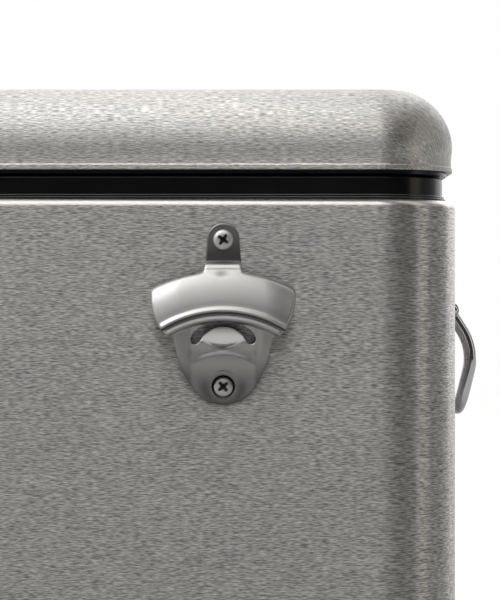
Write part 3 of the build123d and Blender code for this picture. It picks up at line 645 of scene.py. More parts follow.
class CHEST_OT_lid(ChestOperator):
    """The crowned lid: a rolled hem, a level skirt, a round shoulder and a gently arched top"""

    bl_idname = "chest.lid"
    bl_label = "Lid cladding"

    def execute(self, context):
        sizes = context.scene.chest_sizes
        shape = Shape()
        for depth, flip in ((0.0, False), (sizes.sheet / MM, True)):
            self.skin(shape, sizes, depth, flip)
        shape.make("lid_cladding", "lid", "brushed_steel", FINISHES["lid"], ["lid_shell"])
        return {"FINISHED"}

    def foot(self, sizes, depth, skirt):
        """The lowest (inset, height) rows: a bead rolled out from under the lid, or its plain inside."""
        low, hem, sheet = LID_LOW[2], sizes.hem / MM, sizes.sheet / MM
        if depth:
            return np.array([(8.0 - depth, low + sheet), (0.55, low + sheet), skirt])
        bead = [(8.0, low + sheet), (8.0, low), (0.15, low), (0.0, low + 0.4), (0.0, low + 2 * hem),
                (0.55, low + 2 * hem + 0.5), skirt]
        return soften(bead, [0.1, 0.1, 0.7, 0.5, 0.7, 1.2, 0], 6, False)

    def skin(self, shape, sizes, depth, flip):
        """One side of the sheet: rings from the hem to the corner centres, and the top between those.

        The top is an arch along Y, z = top - arch + sqrt(arch^2 - y^2). Above the skirt's foot every ring is
        lifted towards it in proportion to its height.
        """
        half_x, half_y, top = LID_HIGH[0], LID_HIGH[1], LID_HIGH[2] - depth
        fillet, crown, skirt = sizes.lid_round / MM, 8.0, (0.55, LID_LOW[2] + 6.0)
        radius = CORNER - (RIGHT - half_x)
        arch = BACK**2 / (2 * crown) + crown / 2
        edge_top = top - (arch - math.sqrt(arch**2 - (half_y - fillet) ** 2))

        turn = np.linspace(0, math.pi / 2, 25)
        roll = np.stack([fillet * (1 - np.cos(turn)), fillet * np.sin(turn)], -1) + [0, edge_top - fillet]
        easing = np.linspace(0, 1, 5)[1:, None]
        wall = np.array([skirt]) * (1 - easing) + easing * [(0.0, edge_top - fillet)]
        inward = np.linspace(fillet, radius - depth, 8)[1:]
        level = np.stack([inward, np.full(len(inward), edge_top)], -1)
        profile = np.concatenate([self.foot(sizes, depth, skirt), wall[:-1], roll, level])

        outline = plan(half_x - depth, half_y - depth, radius - depth, per_corner=28, per_x=60, per_y=40)
        grid = carried(outline, profile)
        lift = np.clip((grid[..., 2] - skirt[1]) / (edge_top - fillet - skirt[1]), 0, 1)
        y = np.clip(grid[..., 1], -(half_y - fillet), half_y - fillet)
        grid[..., 2] += lift * (top - arch + np.sqrt(arch**2 - y**2) - edge_top)
        run = np.concatenate([[0], np.cumsum(np.linalg.norm(np.diff(profile, axis=0), axis=1))])
        centres, ways, _ = outline
        shape.surface(grid, sheet=centres[None] + ways[None] * (run[-1] - run)[:, None, None], flip=flip)

        inner_x, inner_y = half_x - radius, half_y - radius
        x, y = np.meshgrid(np.linspace(-inner_x, inner_x, 61), np.linspace(-inner_y, inner_y, 41))
        flat = np.stack([x, y, top - arch + np.sqrt(arch**2 - y**2)], -1)
        shape.surface(flat, closed_columns=False, sheet=flat[..., :2], flip=flip)


class CHEST_OT_collar(ChestOperator):
    """The black collar that the lid shuts on, with two small steps at its foot"""

    bl_idname = "chest.collar"
    bl_label = "Collar"

    def execute(self, context):
        foot, top, low = SHELL_TOP, RIM_HIGH[2], RIM_LOW[2]
        mouth = 35.0
        outside = [(4.8, foot), (4.8, foot + 1.2), (5.6, foot + 1.2), (5.6, foot + 2.4), (6.5, foot + 2.4),
                   (6.5, top)]
        inside = [(mouth, top), (mouth, low), (mouth - 2.5, low), (mouth - 2.5, top - 2.5), (9.2, top - 2.5),
                  (9.2, foot)]
        radii = [0.2, 0.3, 0.25, 0.3, 0.25, 1.5, 2.0, 0.3, 0.2, 0.2, 0.2, 0.2]
        profile = soften(outside + inside, radii, 6)
        rim = carried(plan(RIGHT, BACK, CORNER, per_corner=28), profile)
        opening = carried(plan(RIGHT, BACK, mouth + 30.0, per_corner=28), profile)
        deep = smooth(20.0, 34.0, profile[:, :1])[..., None]
        shape = Shape().surface(rim * (1 - deep) + opening * deep, closed_rows=True)
        shape.make("collar", "chest", "black_plastic", FINISHES["collar"], ["top_rim"])
        return {"FINISHED"}


class CHEST_OT_base(ChestOperator):
    """The black base pan and its four rubber feet"""

    bl_idname = "chest.base"
    bl_label = "Base pan and feet"

    def execute(self, context):
        low, seam, top = PAN_LOW[2], SHELL_BOTTOM, PAN_HIGH[2]
        wall = 3.5
        corners = [(14.0, low), (0, low), (0, low + 12.0), (0, seam), (1.0, seam), (1.0, top), (wall, top),
                   (wall, low + 3.0)]
        profile = soften(corners, [0, 8.0, 0, 0.4, 0.1, 0.4, 0.4, 1.0], 8, False)
        outline = plan(RIGHT, BACK, CORNER, per_corner=24)
        grid = carried(outline, profile)
        rib = np.linspace(14.0, 40.0, 5)
        under = carried(outline, [(r, low + (0.9 if i in (1, 2) else 0.0)) for i, r in enumerate(rib)][::-1])
        shape = Shape().surface(grid).cap(grid[-1]).surface(under).cap(under[0], flip=True)
        shape.make("base_moulding", "chest", "black_plastic", FINISHES["black"], ["base_pan"])
        for node in ("foot_front_left", "foot_front_right", "foot_rear_left", "foot_rear_right"):
            foot_low, foot_high = box(node)
            middle = (foot_low + foot_high) / 2
            r, tall = (foot_high[0] - foot_low[0]) / 2, foot_high[2] - foot_low[2]
            tread = [(0, 2.5), (5.0, 2.5), (5.0, 0.0), (9.0, 0.0), (9.6, 0.8), (11.0, 0.8), (11.6, 0.0),
                     (15.6, 0.0), (16.2, 0.8), (17.6, 0.8), (18.2, 0.0), (r - 1.5, 0.0), (r, 1.6), (r, tall),
                     (0, tall)]
            tread = soften(tread, [0, 0.2, 0.4] + [0.3] * 8 + [0.6, 1.2, 0.6, 0], 4, False)
            foot = Shape().join(turned(tread, 56), facing(middle[0], middle[1], 0, "up"))
            foot.make(node + "_pad", "chest", "black_rubber", FINISHES["rubber"], [node])
        return {"FINISHED"}


def screw_head(radius, rise, around=48, slot_turn=0.7):
    """A pan head with a cross recess, seated on z = 0.

    Its height is a flat dome that rolls off at the rim, and the recess drops where the distance to either arm
    of the cross is small; the arms taper towards their ends and towards the bottom.
    """
    side = np.array([(0, 1), (0.6, 0.95), (0.95, 0.72), (1, 0.2), (1, 0)]) * [radius, rise]
    rim = soften(side, [0, radius * 0.8, radius * 0.3, radius * 0.1, 0], 7, False)[::-1]
    angle = np.arange(around) * 2 * math.pi / around
    far = rim[rim[:, 0] > radius * 0.66]
    near = np.linspace(radius * 0.64, 0, 18)
    reach = np.concatenate([far[:, 0], near])
    dome = np.concatenate([far[:, 1], np.interp(near, rim[::-1, 0], rim[::-1, 1])])
    x, y = reach[:, None] * np.cos(angle), reach[:, None] * np.sin(angle)
    c, s = math.cos(slot_turn), math.sin(slot_turn)
    u, v = np.abs(c * x + s * y), np.abs(c * y - s * x)
    long_way, short_way = np.maximum(u, v), np.minimum(u, v)
    half_arm = radius * 0.13 * (1.2 - long_way / radius)
    arm = smooth(half_arm + radius * 0.05, half_arm - radius * 0.02, short_way) * smooth(
        radius * 0.60, radius * 0.50, long_way)
    core = smooth(radius * 0.30, radius * 0.16, np.hypot(x, y))
    sunk = np.maximum(arm * (1 - 0.35 * long_way / radius), core)
    grid = np.stack([x, y, dome[:, None] - rise * 0.8 * sunk], -1)
    # The sheet keeps how far each point is sunk, and the screw's finish darkens by it: painted shade in the
    # cross recess.
    shape = Shape().surface(grid, sheet=np.stack([sunk, sunk], -1) * 0.97)
    return shape.cap(grid[0], flip=True)


class CHEST_OT_screws(ChestOperator):
    """Every visible pan-head screw, each group as one piece that stands for its CAD node"""

    bl_idname = "chest.screws"
    bl_label = "Screws"

    def execute(self, context):
        for node, body, out, radius, rise, around in (
                ("opener_screws", "chest", "front", 5.0, 3.2, 72),
                ("keeper_screws", "chest", "front", 4.0, 2.4, 40),
                ("handle_screws_right", "chest", "right", 4.0, 2.4, 40),
                ("handle_screws_left", "chest", "left", 4.0, 2.4, 40),
                ("latch_bracket_screws", "lid", "front", 3.2, 1.8, 32),
                ("hinge_screws_body", "chest", "back", 3.2, 1.8, 32),
                ("hinge_screws_lid", "lid", "back", 3.2, 1.8, 32),
                ("foot_screws", "chest", "down", 4.0, 2.2, 32)):
            shape = Shape()
            for number, seat in enumerate(screw_seats(node, out, rise)):
                head = screw_head(radius, rise, around, 0.72 + 0.35 * math.sin(2.3 * number))
                shape.join(head, facing(*seat, out))
            name = node.replace("_screws", "") + "_screw_heads"
            shape.make(name, body, "screw_steel", FINISHES["screw"], [node])
        shape, number = Shape(), 0
        for out in ("front", "back", "right", "left"):
            for seat in screw_seats("base_screws", out, 1.8):
                shape.join(screw_head(3.2, 1.8, 28, 0.7 + number), facing(*seat, out))
                number += 1
        shape.make("base_screw_heads", "chest", "screw_steel", FINISHES["screw"], ["base_screws"])
        return {"FINISHED"}


def screw_seats(node, out, rise):
    """The seats of a CAD node's screws on one side, from the points of its heads that stand furthest out."""
    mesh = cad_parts[node].data
    points = np.empty(len(mesh.vertices) * 3)
    mesh.vertices.foreach_get("co", points)
    points = points.reshape(-1, 3) / MM
    axis, sign = {"front": (1, -1), "back": (1, 1), "right": (0, 1), "left": (0, -1), "down": (2, -1)}[out]
    outermost = (points[:, axis] * sign).max()
    tips = points[points[:, axis] * sign > outermost - 0.05]
    others = [i for i in range(3) if i != axis]
    found = []
    while len(tips):
        near = np.linalg.norm(tips[:, others] - tips[0, others], axis=1) < 9.0
        centre = (tips[near].min(0) + tips[near].max(0)) / 2
        centre[axis] = (outermost - rise) * sign
        found.append(tuple(centre))
        tips = tips[~near]
    return found


# ---------------------------------------------------------------- bottle opener

OPENER_LOW, OPENER_HIGH = box("opener")
OPENER_X = (OPENER_LOW[0] + OPENER_HIGH[0]) / 2
OPENER_ARCS = OPENER_HIGH[2] - 99.7  # height of the centre that the hood's arcs share
OPENER_SCREW = 20.2  # the lower screw, above the arcs' centre
OPENER_GAUGE = 2.3  # thickness of the metal
OPENER_STEP = 0.30  # spacing of the opener's grid

# How far the metal stands off the cladding, by distance from the arcs' centre: under the lip, then the lip,
# the hood, the bend and the tab.
HOOD_RISE = [
    (51.0, 12.7), (51.8, 13.6), (52.4, 14.1), (53.0, 14.22), (53.6, 14.1), (54.2, 13.92), (54.8, 13.72),
    (55.4, 13.5), (55.7, 13.7), (55.95, 14.6), (56.2, 15.6), (56.45, 16.15), (56.8, 16.55), (57.2, 16.7),
    (57.8, 16.52), (58.4, 16.1), (58.9, 15.75), (59.4, 15.55), (60.0, 15.42), (62.0, 15.05), (64.0, 14.62),
    (66.0, 14.12), (68.0, 13.55), (70.0, 12.88), (72.0, 12.05), (74.0, 11.0), (75.2, 10.2), (76.0, 9.6),
    (76.8, 8.95), (77.3, 8.5), (77.8, 8.15), (78.6, 7.6), (79.3, 7.0), (79.8, 6.2), (80.3, 4.4), (80.7, 3.0),
    (81.1, 2.6), (81.7, 2.5), (100.0, 2.5)]
# The same for the shield below the hood, by height above the arcs' centre.
SHIELD_RISE = [
    (8.0, 2.3), (11.0, 2.4), (14.5, 2.9), (18.0, 4.2), (22.0, 6.1), (26.0, 8.0), (30.0, 9.6), (34.0, 10.7),
    (38.0, 11.3), (42.0, 11.8), (47.0, 12.3), (50.0, 12.7), (52.6, 13.2)]


def mirrored(half):
    """A closed outline, anticlockwise, from its right half listed from the top down."""
    half = np.asarray(half, float)
    return np.concatenate([half, (half[1:-1] * [-1, 1])[::-1]])[::-1]


def arc(radius, centre, start, end, count):
    """Points (x, z) on a circle about (0, centre), from one angle to another in degrees."""
    angle = np.radians(np.linspace(start, end, count))
    return np.stack([radius * np.cos(angle), centre + radius * np.sin(angle)], -1)


def opener_outline():
    """The opener's outer edge about the arcs' centre: tab, hood's ends and corners, shield to its tip."""
    side = [(35.2, 67.2), (34.9, 61.0), (33.5, 55.0), (30.9, 49.5), (29.6, 47.4), (27.0, 44.7), (23.9, 43.6),
            (23.4, 40.0), (22.2, 35.0), (20.2, 28.8), (17.5, 23.0), (14.2, 18.0), (10.6, 14.5), (6.2, 12.1),
            (2.0, 11.2), (0.0, 11.1)]
    half = np.concatenate([arc(7.9, 91.8, 90, 8, 9), [(8.7, 80.4), (9.3, 77.6), (9.7, 75.9)],
                           arc(76.0, 0.0, 80.0, 65.2, 6), side])
    radius = np.concatenate([np.full(9, 1.0), [6.0, 3.0, 3.0], np.full(6, 4.0),
                             [3.2, 8.0, 9.0, 2.0, 2.0, 1.6, 1.8], np.full(9, 9.0)])
    radius = np.concatenate([radius, radius[1:-1][::-1]])[::-1]
    return soften(mirrored(half), radius, 5)


def slot_outline():
    """The crescent slot, between a wide arc and the tongue's arc, with rounded ends."""
    right = np.concatenate([arc(20.8, 31.4, 90, 46.2, 12), [(15.8, 43.6), (15.2, 41.3), (13.0, 40.9)],
                            arc(12.8, 36.4, 25.5, 90, 14)])
    return soften(mirrored(right), 1.3, 5)


def to_outline(x, z, ring):
    """Distance to a closed outline, negative inside it, and the direction straight away from it.

    The distance is the least over the outline's runs, and a point is inside where a level ray from it crosses
    the outline an odd number of times. The points go through in batches, to keep the arrays small.
    """
    (start_x, start_z), (end_x, end_z) = ring.T, np.roll(ring, -1, 0).T
    way_x, way_z = end_x - start_x, end_z - start_z
    away, slope = np.empty(len(x)), np.empty((len(x), 2))
    for part in np.array_split(np.arange(len(x)), 24):
        from_x, from_z = x[part][:, None] - start_x, z[part][:, None] - start_z
        t = np.clip((from_x * way_x + from_z * way_z) / (way_x**2 + way_z**2), 0, 1)
        off = np.stack([from_x - t * way_x, from_z - t * way_z], -1)
        squared = (off**2).sum(-1)
        best = squared.argmin(1)
        reach = np.sqrt(squared[np.arange(len(part)), best])
        crosses = (from_z < 0) != (z[part][:, None] < end_z)
        beside = from_x < from_z * way_x / np.where(way_z == 0, 1e-12, way_z)
        sign = np.where((crosses & beside).sum(1) % 2 == 1, -1.0, 1.0)
        away[part] = reach * sign
        slope[part] = off[np.arange(len(part)), best] / np.maximum(reach, 1e-9)[:, None] * sign[:, None]
    return away, slope


def opener_rise(x, z):
    """How far the opener's face stands off the cladding, before its edges are rolled.

    Above the shield it follows the distance from the arcs' centre, and the height itself on the tab. The
    shield adds a bowl between two ribs, an arched step, a tilted tongue with a crease at its root, and the
    cup round the lower screw.
    """
    r = np.hypot(x, z)
    reach = r + (z - r) * smooth(75.4, 77.4, z)
    hood = along(reach, HOOD_RISE)
    hood -= 1.2 * smooth(20.0, 37.0, np.abs(x)) * smooth(55.6, 57.0, r)
    hood -= 0.5 * np.exp(-((x / 3.2) ** 2) - ((z - 75.0) / 1.5) ** 2)
    hood -= 0.22 * np.exp(-(((z - 77.4) / 0.28) ** 2)) * smooth(9.6, 8.6, np.abs(x))
    shield = along(z, SHIELD_RISE)
    bowl = smooth(20.2, 15.4, np.abs(x)) * smooth(25.0, 40.0, z) * smooth(53.4, 51.4, r)
    step = smooth(23.9, 26.9, np.hypot(x, z - 11.5)) * smooth(18.0, 12.0, np.abs(x))
    dish = np.hypot(x, z - 54.0) - 15.7
    tongue = smooth(13.6, 12.2, np.hypot(x, z - 36.4)) * smooth(0.6, -0.8, dish)
    crease = 0.9 * np.exp(-((x / 4.2) ** 2) - ((dish + 1.0) / 0.8) ** 2)
    crease += 0.12 * np.exp(-((dish / 0.6) ** 2)) * smooth(13.0, 11.0, np.abs(x))
    shield = shield - 1.7 * bowl - 0.42 * step - tongue * 0.42 * (z - 42.0) - crease * smooth(45.0, 43.0, z)
    round_screw = np.hypot(x, z - OPENER_SCREW)
    shield = shield + 0.5 * np.exp(-(((round_screw - 6.9) / 1.1) ** 2))
    cup = smooth(5.75, 5.1, round_screw)
    shield = shield * (1 - cup) + 2.45 * cup
    up = smooth(51.0, 52.8, r)
    return shield * (1 - up) + hood * up


def opener_painted_shade(x, z):
    """Painted shade: how much the opener's colour is darkened under the lip, in the crease and dimple, in the
    cup, on the ribs, at the foot, and on the tab as a painted dark reflection.
    """
    r = np.hypot(x, z)
    under_lip = smooth(55.3, 55.7, r) * smooth(56.8, 56.3, r)
    crease = np.exp(-((x / 4.2) ** 2) - ((np.hypot(x, z - 54.0) - 14.75) / 0.9) ** 2) * (z < 45.0)
    dimple_shade = np.exp(-((x / 3.4) ** 2) - ((z - 75.1) / 1.5) ** 2)
    # The tab is darker towards its bend: a painted dark reflection.
    tab = smooth(80.2, 81.0, z) * (0.42 + 0.28 * smooth(97.0, 82.0, z))
    round_screw = np.hypot(x, z - OPENER_SCREW)
    cup = smooth(5.7, 5.2, round_screw) * (0.25 + 0.55 * smooth(18.0, 23.0, z))
    foot = 0.36 * smooth(36.0, 23.0, z)
    foot += 0.32 * np.exp(-(((round_screw - 9.0) / 3.0) ** 2)) * smooth(27.0, 19.0, z)
    ribs = 0.22 * smooth(14.5, 16.5, np.abs(x)) * smooth(52.0, 50.5, r)
    return np.clip(0.82 * under_lip + 0.85 * crease + 0.42 * dimple_shade + tab + cup + foot + ribs, 0, 1)


def trimmed(cells, side, away):
    """The grid's quads inside the outline, triangles for those that it cuts, walls, and the points used.

    Side is -1 inside, 0 on the outline and 1 outside. A wall stands on each run that only one face has, and
    the back's points are numbered after the front's.
    """
    sides = side[cells]
    inside = away[cells].sum(1) < -1e-9
    whole = cells[(sides <= 0).all(1) & inside]
    one_out = ((sides > 0).sum(1) == 1) & inside
    cut = np.concatenate([np.roll(cells, -k - 1, 1)[(sides[:, k] > 0) & one_out][:, :3] for k in range(4)])
    used = np.unique(np.concatenate([whole.ravel(), cut.ravel()]))
    number, count = np.full(len(side), -1), len(used)
    number[used] = np.arange(count)
    whole, cut = number[whole], number[cut]
    runs = np.concatenate([np.stack([f, np.roll(f, -1, 1)], -1).reshape(-1, 2) for f in (whole, cut)])
    start, end = runs[~np.isin(runs @ [count, 1], runs @ [1, count])].T
    return whole, cut, np.stack([end, start, start + count, end + count], -1), used


def opener_normals(x, z, roll_slope, slope):
    """The face's unit normals, from the rise's slope by central differences and the rolled edge's own."""
    nudge = 0.02
    tilt_x = (opener_rise(x + nudge, z) - opener_rise(x - nudge, z)) / (2 * nudge) - roll_slope * slope[:, 0]
    tilt_z = (opener_rise(x, z + nudge) - opener_rise(x, z - nudge)) / (2 * nudge) - roll_slope * slope[:, 1]
    normal = np.stack([-tilt_x, -np.ones_like(x), -tilt_z], -1)
    return normal / np.linalg.norm(normal, axis=1)[:, None]


class CHEST_OT_opener(ChestOperator):
    """The bottle opener: a pressed hood with a lip, over a shield with a crescent slot and a tongue"""

    bl_idname = "chest.opener"
    bl_label = "Bottle opener"

    def execute(self, context):
        across, up = np.arange(-35.7, 35.8, OPENER_STEP), np.arange(10.6, 100.3, OPENER_STEP)
        x, z = (part.ravel() for part in np.meshgrid(across, up))
        away, slope = to_outline(x, z, opener_outline())
        slot_away, slot_slope = to_outline(x, z, slot_outline())
        in_slot = (-slot_away > away)[:, None]
        away, slope = np.maximum(away, -slot_away), np.where(in_slot, -slot_slope, slope)
        near = np.abs(away) <= OPENER_STEP / 2
        x, z = x - np.where(near, slope[:, 0] * away, 0), z - np.where(near, slope[:, 1] * away, 0)
        side = np.where(near, 0, np.sign(away))
        away = np.where(near, 0, np.minimum(away, 0))
        whole, cut, wall, used = trimmed(quads(len(up), len(across), False, False), side, away)

        edge = np.where((z > 79.5) | in_slot[:, 0], 0.8, 1.5)
        lean = 0.93 * np.clip(1 + away / edge, 0, 1)
        front = opener_rise(x, z) - edge * (1 - np.sqrt(1 - lean**2))
        back = np.minimum(np.maximum(opener_rise(x, z) - OPENER_GAUGE, 0.06), front - 0.3)
        # Painted shade: the face's points carry their darkening amounts on the sheet, the hidden back a flat
        # 0.6, and the opener's finish darkens by them.
        painted_darkening, count = opener_painted_shade(x, z)[used], len(used)
        shape = Shape()
        for height, sheet_shade in ((front, np.stack([painted_darkening, painted_darkening], -1)), (back, np.full((count, 2), 0.6))):
            shape.add_points(np.stack([x + OPENER_X, FRONT - height, z + OPENER_ARCS], -1)[used], sheet_shade)
        for faces in (whole, cut, whole[:, ::-1] + count, cut[:, ::-1] + count, wall):
            shape.faces += faces.tolist()
        piece = shape.make("bottle_opener", "chest", "opener_steel", FINISHES["opener"], ["opener"], 40.0,
                           sew=False)
        corners = np.zeros((len(piece.data.loops), 3))
        shown = np.concatenate([whole.ravel(), cut.ravel()])
        corners[:len(shown)] = opener_normals(x, z, 0.93 * lean / np.sqrt(1 - lean**2), slope)[used][shown]
        piece.data.normals_split_custom_set(corners.tolist())
        return {"FINISHED"}


# ---------------------------------------------------------------- handles, latch, hinges, drain


class CHEST_OT_handles(ChestOperator):
    """The bail handles and the plates that they swing in"""

    bl_idname = "chest.handles"
    bl_label = "Handles"

    def execute(self, context):
        for side, sign in (("right", 1), ("left", -1)):
            axis_z, face_x = box(f"handle_{side}")[1][2] - 3.5, sign * RIGHT
            axis_x = face_x + sign * 6.0
            route = [(axis_x, -89.6, axis_z), (axis_x, -77.0, axis_z), (axis_x, -75.0, axis_z),
                     (axis_x, -68.0, axis_z), (face_x + sign * 19.6, -68.0, axis_z - 21.5),
                     (face_x + sign * 11.5, -68.0, axis_z - 54.5)]
            route += [(x, -y, z) for x, y, z in route[::-1]]
            path = soften(route, [0, 0, 0, 5.5, 30.0, 12.0, 12.0, 30.0, 5.5, 0, 0, 0], 16, False)
            if sign < 0:
                path = path[::-1]
            bail = rod(path, 2.7 + 0.8 * smooth(77.2, 74.8, np.abs(path[:, 1])), 28)
            bail.make(f"bail_{side}", f"handle_{side}", "chrome_trim", FINISHES["chrome"], [f"handle_{side}"])
            plate = Shape().join(slab(108.0, 15.0, 8.0, 1.5, 0.45), facing(face_x, 0, axis_z, side))
            eye = [(0.5, -5.2), (4.5, -4.2), (8.0, -3.9), (9.9, 0.0), (8.0, 3.9), (4.5, 4.2), (0.5, 5.2)]
            eye = soften(eye, [0.4, 3.0, 3.4, 3.9, 3.4, 3.0, 0.4], 6)
            for middle in (-82.0, 82.0):
                place = np.eye(4)
                place[:3, :3] = [[0, sign, 0], [1, 0, 0], [0, 0, 1]]
                place[:3, 3] = face_x, middle, axis_z
                barrel = Shape().join(bar(eye, -6.0, 6.0, 0.8), place)
                if sign > 0:  # the place mirrors the barrel here, so its faces are turned over again
                    barrel.faces = [face[::-1] for face in barrel.faces]
                plate.join(barrel)
            plate.make(f"handle_plate_{side}_pressing", "chest", "plate_steel", FINISHES["plate"],
                       [f"handle_plate_{side}"])
        return {"FINISHED"}


class CHEST_OT_latch(ChestOperator):
    """The pull latch: bracket, pin, lever and keeper"""

    bl_idname = "chest.latch"
    bl_label = "Latch"

    def execute(self, context):
        _, axis_y, axis_z = sum(box("latch_pin")) / 2
        lid_front = LID_LOW[1]
        seat = facing(0, lid_front, box("latch_bracket")[1][2] - 6.0, "front")
        bracket = Shape().join(slab(46.0, 6.0, 3.5, 1.5, 0.35), seat)
        ear = soften([(lid_front - 0.5, axis_z - 4.6), (axis_y, axis_z - 4.6), (axis_y - 4.6, axis_z - 2.0),
                      (axis_y - 4.6, axis_z + 2.0), (axis_y, axis_z + 4.6), (lid_front - 0.5, axis_z + 4.6)],
                     [0.2, 3.5, 3.0, 3.0, 3.5, 0.2], 5)[::-1]
        for x in (-29.5, 29.5):
            bracket.join(bar(ear, x - 1.25, x + 1.25, 0.3))
        bracket.make("latch_bracket_pressing", "lid", "plate_steel", FINISHES["plate"], ["latch_bracket"])
        pin = pivot(63.5, 2.0, 0.7, 0, axis_y, axis_z)
        pin.make("latch_rivet", "lid", "chrome_trim", FINISHES["chrome"], ["latch_pin"])

        lever = [(-4.2, 2.0), (-4.2, -40.0), (-12.0, -53.4), (-10.2, -54.6), (-2.2, -41.0), (-2.2, -3.2),
                 (3.8, -2.0), (3.6, 3.0), (-1.5, 4.3)]
        lever = np.array(lever) + [axis_y, axis_z]
        lever = soften(lever, [3.0, 9.0, 0.9, 0.9, 7.0, 1.0, 3.0, 3.0, 3.0], 6)
        shape = bar(lever, -27.5, 27.5, 0.9)
        hook = np.array([(-2.6, -33.6), (-2.6, -40.0), (2.4, -35.6), (2.4, -33.6)]) + [axis_y, axis_z]
        shape.join(bar(soften(hook, 0.4, 3), -10.0, 10.0, 0.4))
        shape.make("latch_lever_pressing", "latch_lever", "plate_steel", FINISHES["plate"], ["latch_lever"])

        seat = facing(0, FRONT, box("latch_keeper")[0][2] + 12.0, "front")
        keeper = Shape().join(slab(26.0, 12.0, 5.0, 1.5, 0.4), seat)
        top = SHELL_TOP - 7.0
        nose = [(FRONT - 0.5, top + 1.0), (FRONT - 1.5, top + 1.0), (FRONT - 7.0, top - 2.1),
                (FRONT - 7.0, top - 4.5), (FRONT - 0.5, top - 4.5)]
        keeper.join(bar(soften(nose, [0.2, 2.5, 0.9, 0.7, 0.2], 5), -11.0, 11.0, 0.5))
        keeper.make("latch_keeper_pressing", "chest", "plate_steel", FINISHES["plate"], ["latch_keeper"])
        return {"FINISHED"}


KNUCKLE = 5.85  # half the length of a hinge knuckle


class CHEST_OT_hinges(ChestOperator):
    """The two stop hinges: leaves, knuckles and pins"""

    bl_idname = "chest.hinges"
    bl_label = "Hinges"

    def execute(self, context):
        for side in ("left", "right"):
            pin_low, pin_high = box(f"hinge_pin_{side}")
            middle, axis_y, axis_z = (pin_low + pin_high) / 2
            knuckles = middle + np.arange(-24.0, 25.0, 12.0)
            self.body_leaf(side, middle, axis_y, axis_z, knuckles)
            self.lid_leaf(side, middle, axis_y, axis_z, knuckles)
            pin = pivot(pin_high[0] - pin_low[0], 2.4, 0.9, middle, axis_y, axis_z)
            pin.make(f"hinge_rivet_{side}", "chest", "chrome_trim", FINISHES["chrome"], [f"hinge_pin_{side}"])
        return {"FINISHED"}

    def body_leaf(self, side, middle, axis_y, axis_z, knuckles):
        """The chest's leaf: a plate, straps up to the first, middle and last knuckles, and the stop."""
        low = box(f"hinge_body_leaf_{side}")[0][2]
        leaf = Shape().join(slab(30.0, 16.0, 4.0, 1.5, 0.35), facing(middle, BACK, low + 16.0, "back"))
        strap = [(BACK + 0.1, low + 30.0), (BACK + 1.42, low + 30.0), (BACK + 1.42, axis_z - 4.0),
                 (axis_y, axis_z), (BACK + 0.1, axis_z)]
        self.barrels(leaf, soften(strap, 0.3, 3), knuckles[0::2], axis_y, axis_z)
        stop = soften([(axis_y, axis_z - 3.5), (axis_y + 11.0, axis_z + 0.5), (axis_y + 11.0, axis_z + 2.0),
                       (axis_y, axis_z + 3.5)], 0.4, 3)
        leaf.join(bar(stop, knuckles[2] - KNUCKLE, knuckles[2] + KNUCKLE, 0.3))
        leaf.make(f"hinge_body_{side}", "chest", "plate_steel", FINISHES["plate"],
                  [f"hinge_body_leaf_{side}"])

    def lid_leaf(self, side, middle, axis_y, axis_z, knuckles):
        """The lid's leaf: a plate, and arms down to the second and fourth knuckles."""
        back, high = LID_HIGH[1], box(f"hinge_lid_leaf_{side}")[1][2]
        leaf = Shape().join(slab(30.0, 6.0, 3.0, 1.5, 0.35), facing(middle, back, high - 6.0, "back"))
        arm = [(back + 0.05, high - 10.0), (back + 0.05, axis_z + 3.0), (axis_y, axis_z),
               (axis_y + 1.0, axis_z + 4.0), (back + 1.42, high - 10.0)]
        self.barrels(leaf, soften(arm, 0.25, 3), knuckles[1::2], axis_y, axis_z)
        leaf.make(f"hinge_lid_{side}", "lid", "plate_steel", FINISHES["plate"], [f"hinge_lid_leaf_{side}"])

    def barrels(self, leaf, strap, knuckles, axis_y, axis_z):
        """Adds a strap and a barrel round the axis at each knuckle."""
        ring = np.linspace(0, 2 * math.pi, 25)[:-1]
        circle = np.stack([axis_y + 4.2 * np.cos(ring), axis_z + 4.2 * np.sin(ring)], -1)
        for x in knuckles:
            leaf.join(bar(strap, x - KNUCKLE, x + KNUCKLE, 0.3)).join(bar(circle, x - KNUCKLE, x + KNUCKLE))


class CHEST_OT_drain(ChestOperator):
    """The drain's flanged spout and its ribbed screw cap"""

    bl_idname = "chest.drain"
    bl_label = "Drain"

    def execute(self, context):
        _, middle_y, middle_z = sum(box("drain_cap")) / 2
        place = facing(LEFT, middle_y, middle_z, "left")
        flange = [(8.0, -39.0), (11.2, -39.0), (11.2, -32.3), (13.0, -32.3), (13.0, 0.2), (21.0, 0.2),
                  (21.0, 3.0), (13.0, 3.0), (13.0, 17.0), (8.0, 17.0)]
        flange = soften(flange, [0.4, 0.4, 0.1, 0.1, 0.1, 0.3, 1.1, 0.8, 0.4, 0.4], 5)
        spout = Shape().join(turned(flange, 64, closed=True), place)
        spout.make("drain_pipe", "chest", "black_plastic", FINISHES["black"], ["drain_spout"])

        outside = soften([(13.2, 5.0), (17.0, 5.0), (17.0, 22.5), (0, 22.5)], [0.3, 0.6, 1.5, 0], 6, False)
        inside = soften([(0, 19.4), (13.2, 19.4), (13.2, 5.0)], [0, 0.5, 0], 4, False)
        wall = np.stack([np.full(16, 17.0), np.linspace(6.0, 20.5, 16)], -1)
        side = np.concatenate([outside[outside[:, 1] < 5.9], wall, outside[outside[:, 1] > 20.6]])
        angle = np.arange(240) * 2 * math.pi / 240
        ribs = np.clip(np.cos(angle * 24) * 1.6, 0, 1)[None] * 1.15
        fade = smooth(5.9, 7.2, side[:, 1]) * smooth(20.4, 19.0, side[:, 1]) * (side[:, 0] > 16.0)
        r = side[:, :1] + ribs * fade[:, None]
        grip = np.stack([r * np.cos(angle), r * np.sin(angle), np.broadcast_to(side[:, 1:], r.shape)], -1)
        cap = Shape().join(Shape().surface(grip).join(turned(inside, 240)), place)
        cap.make("drain_screw_cap", "drain_cap", "black_plastic", FINISHES["black"], ["drain_cap"])
        return {"FINISHED"}


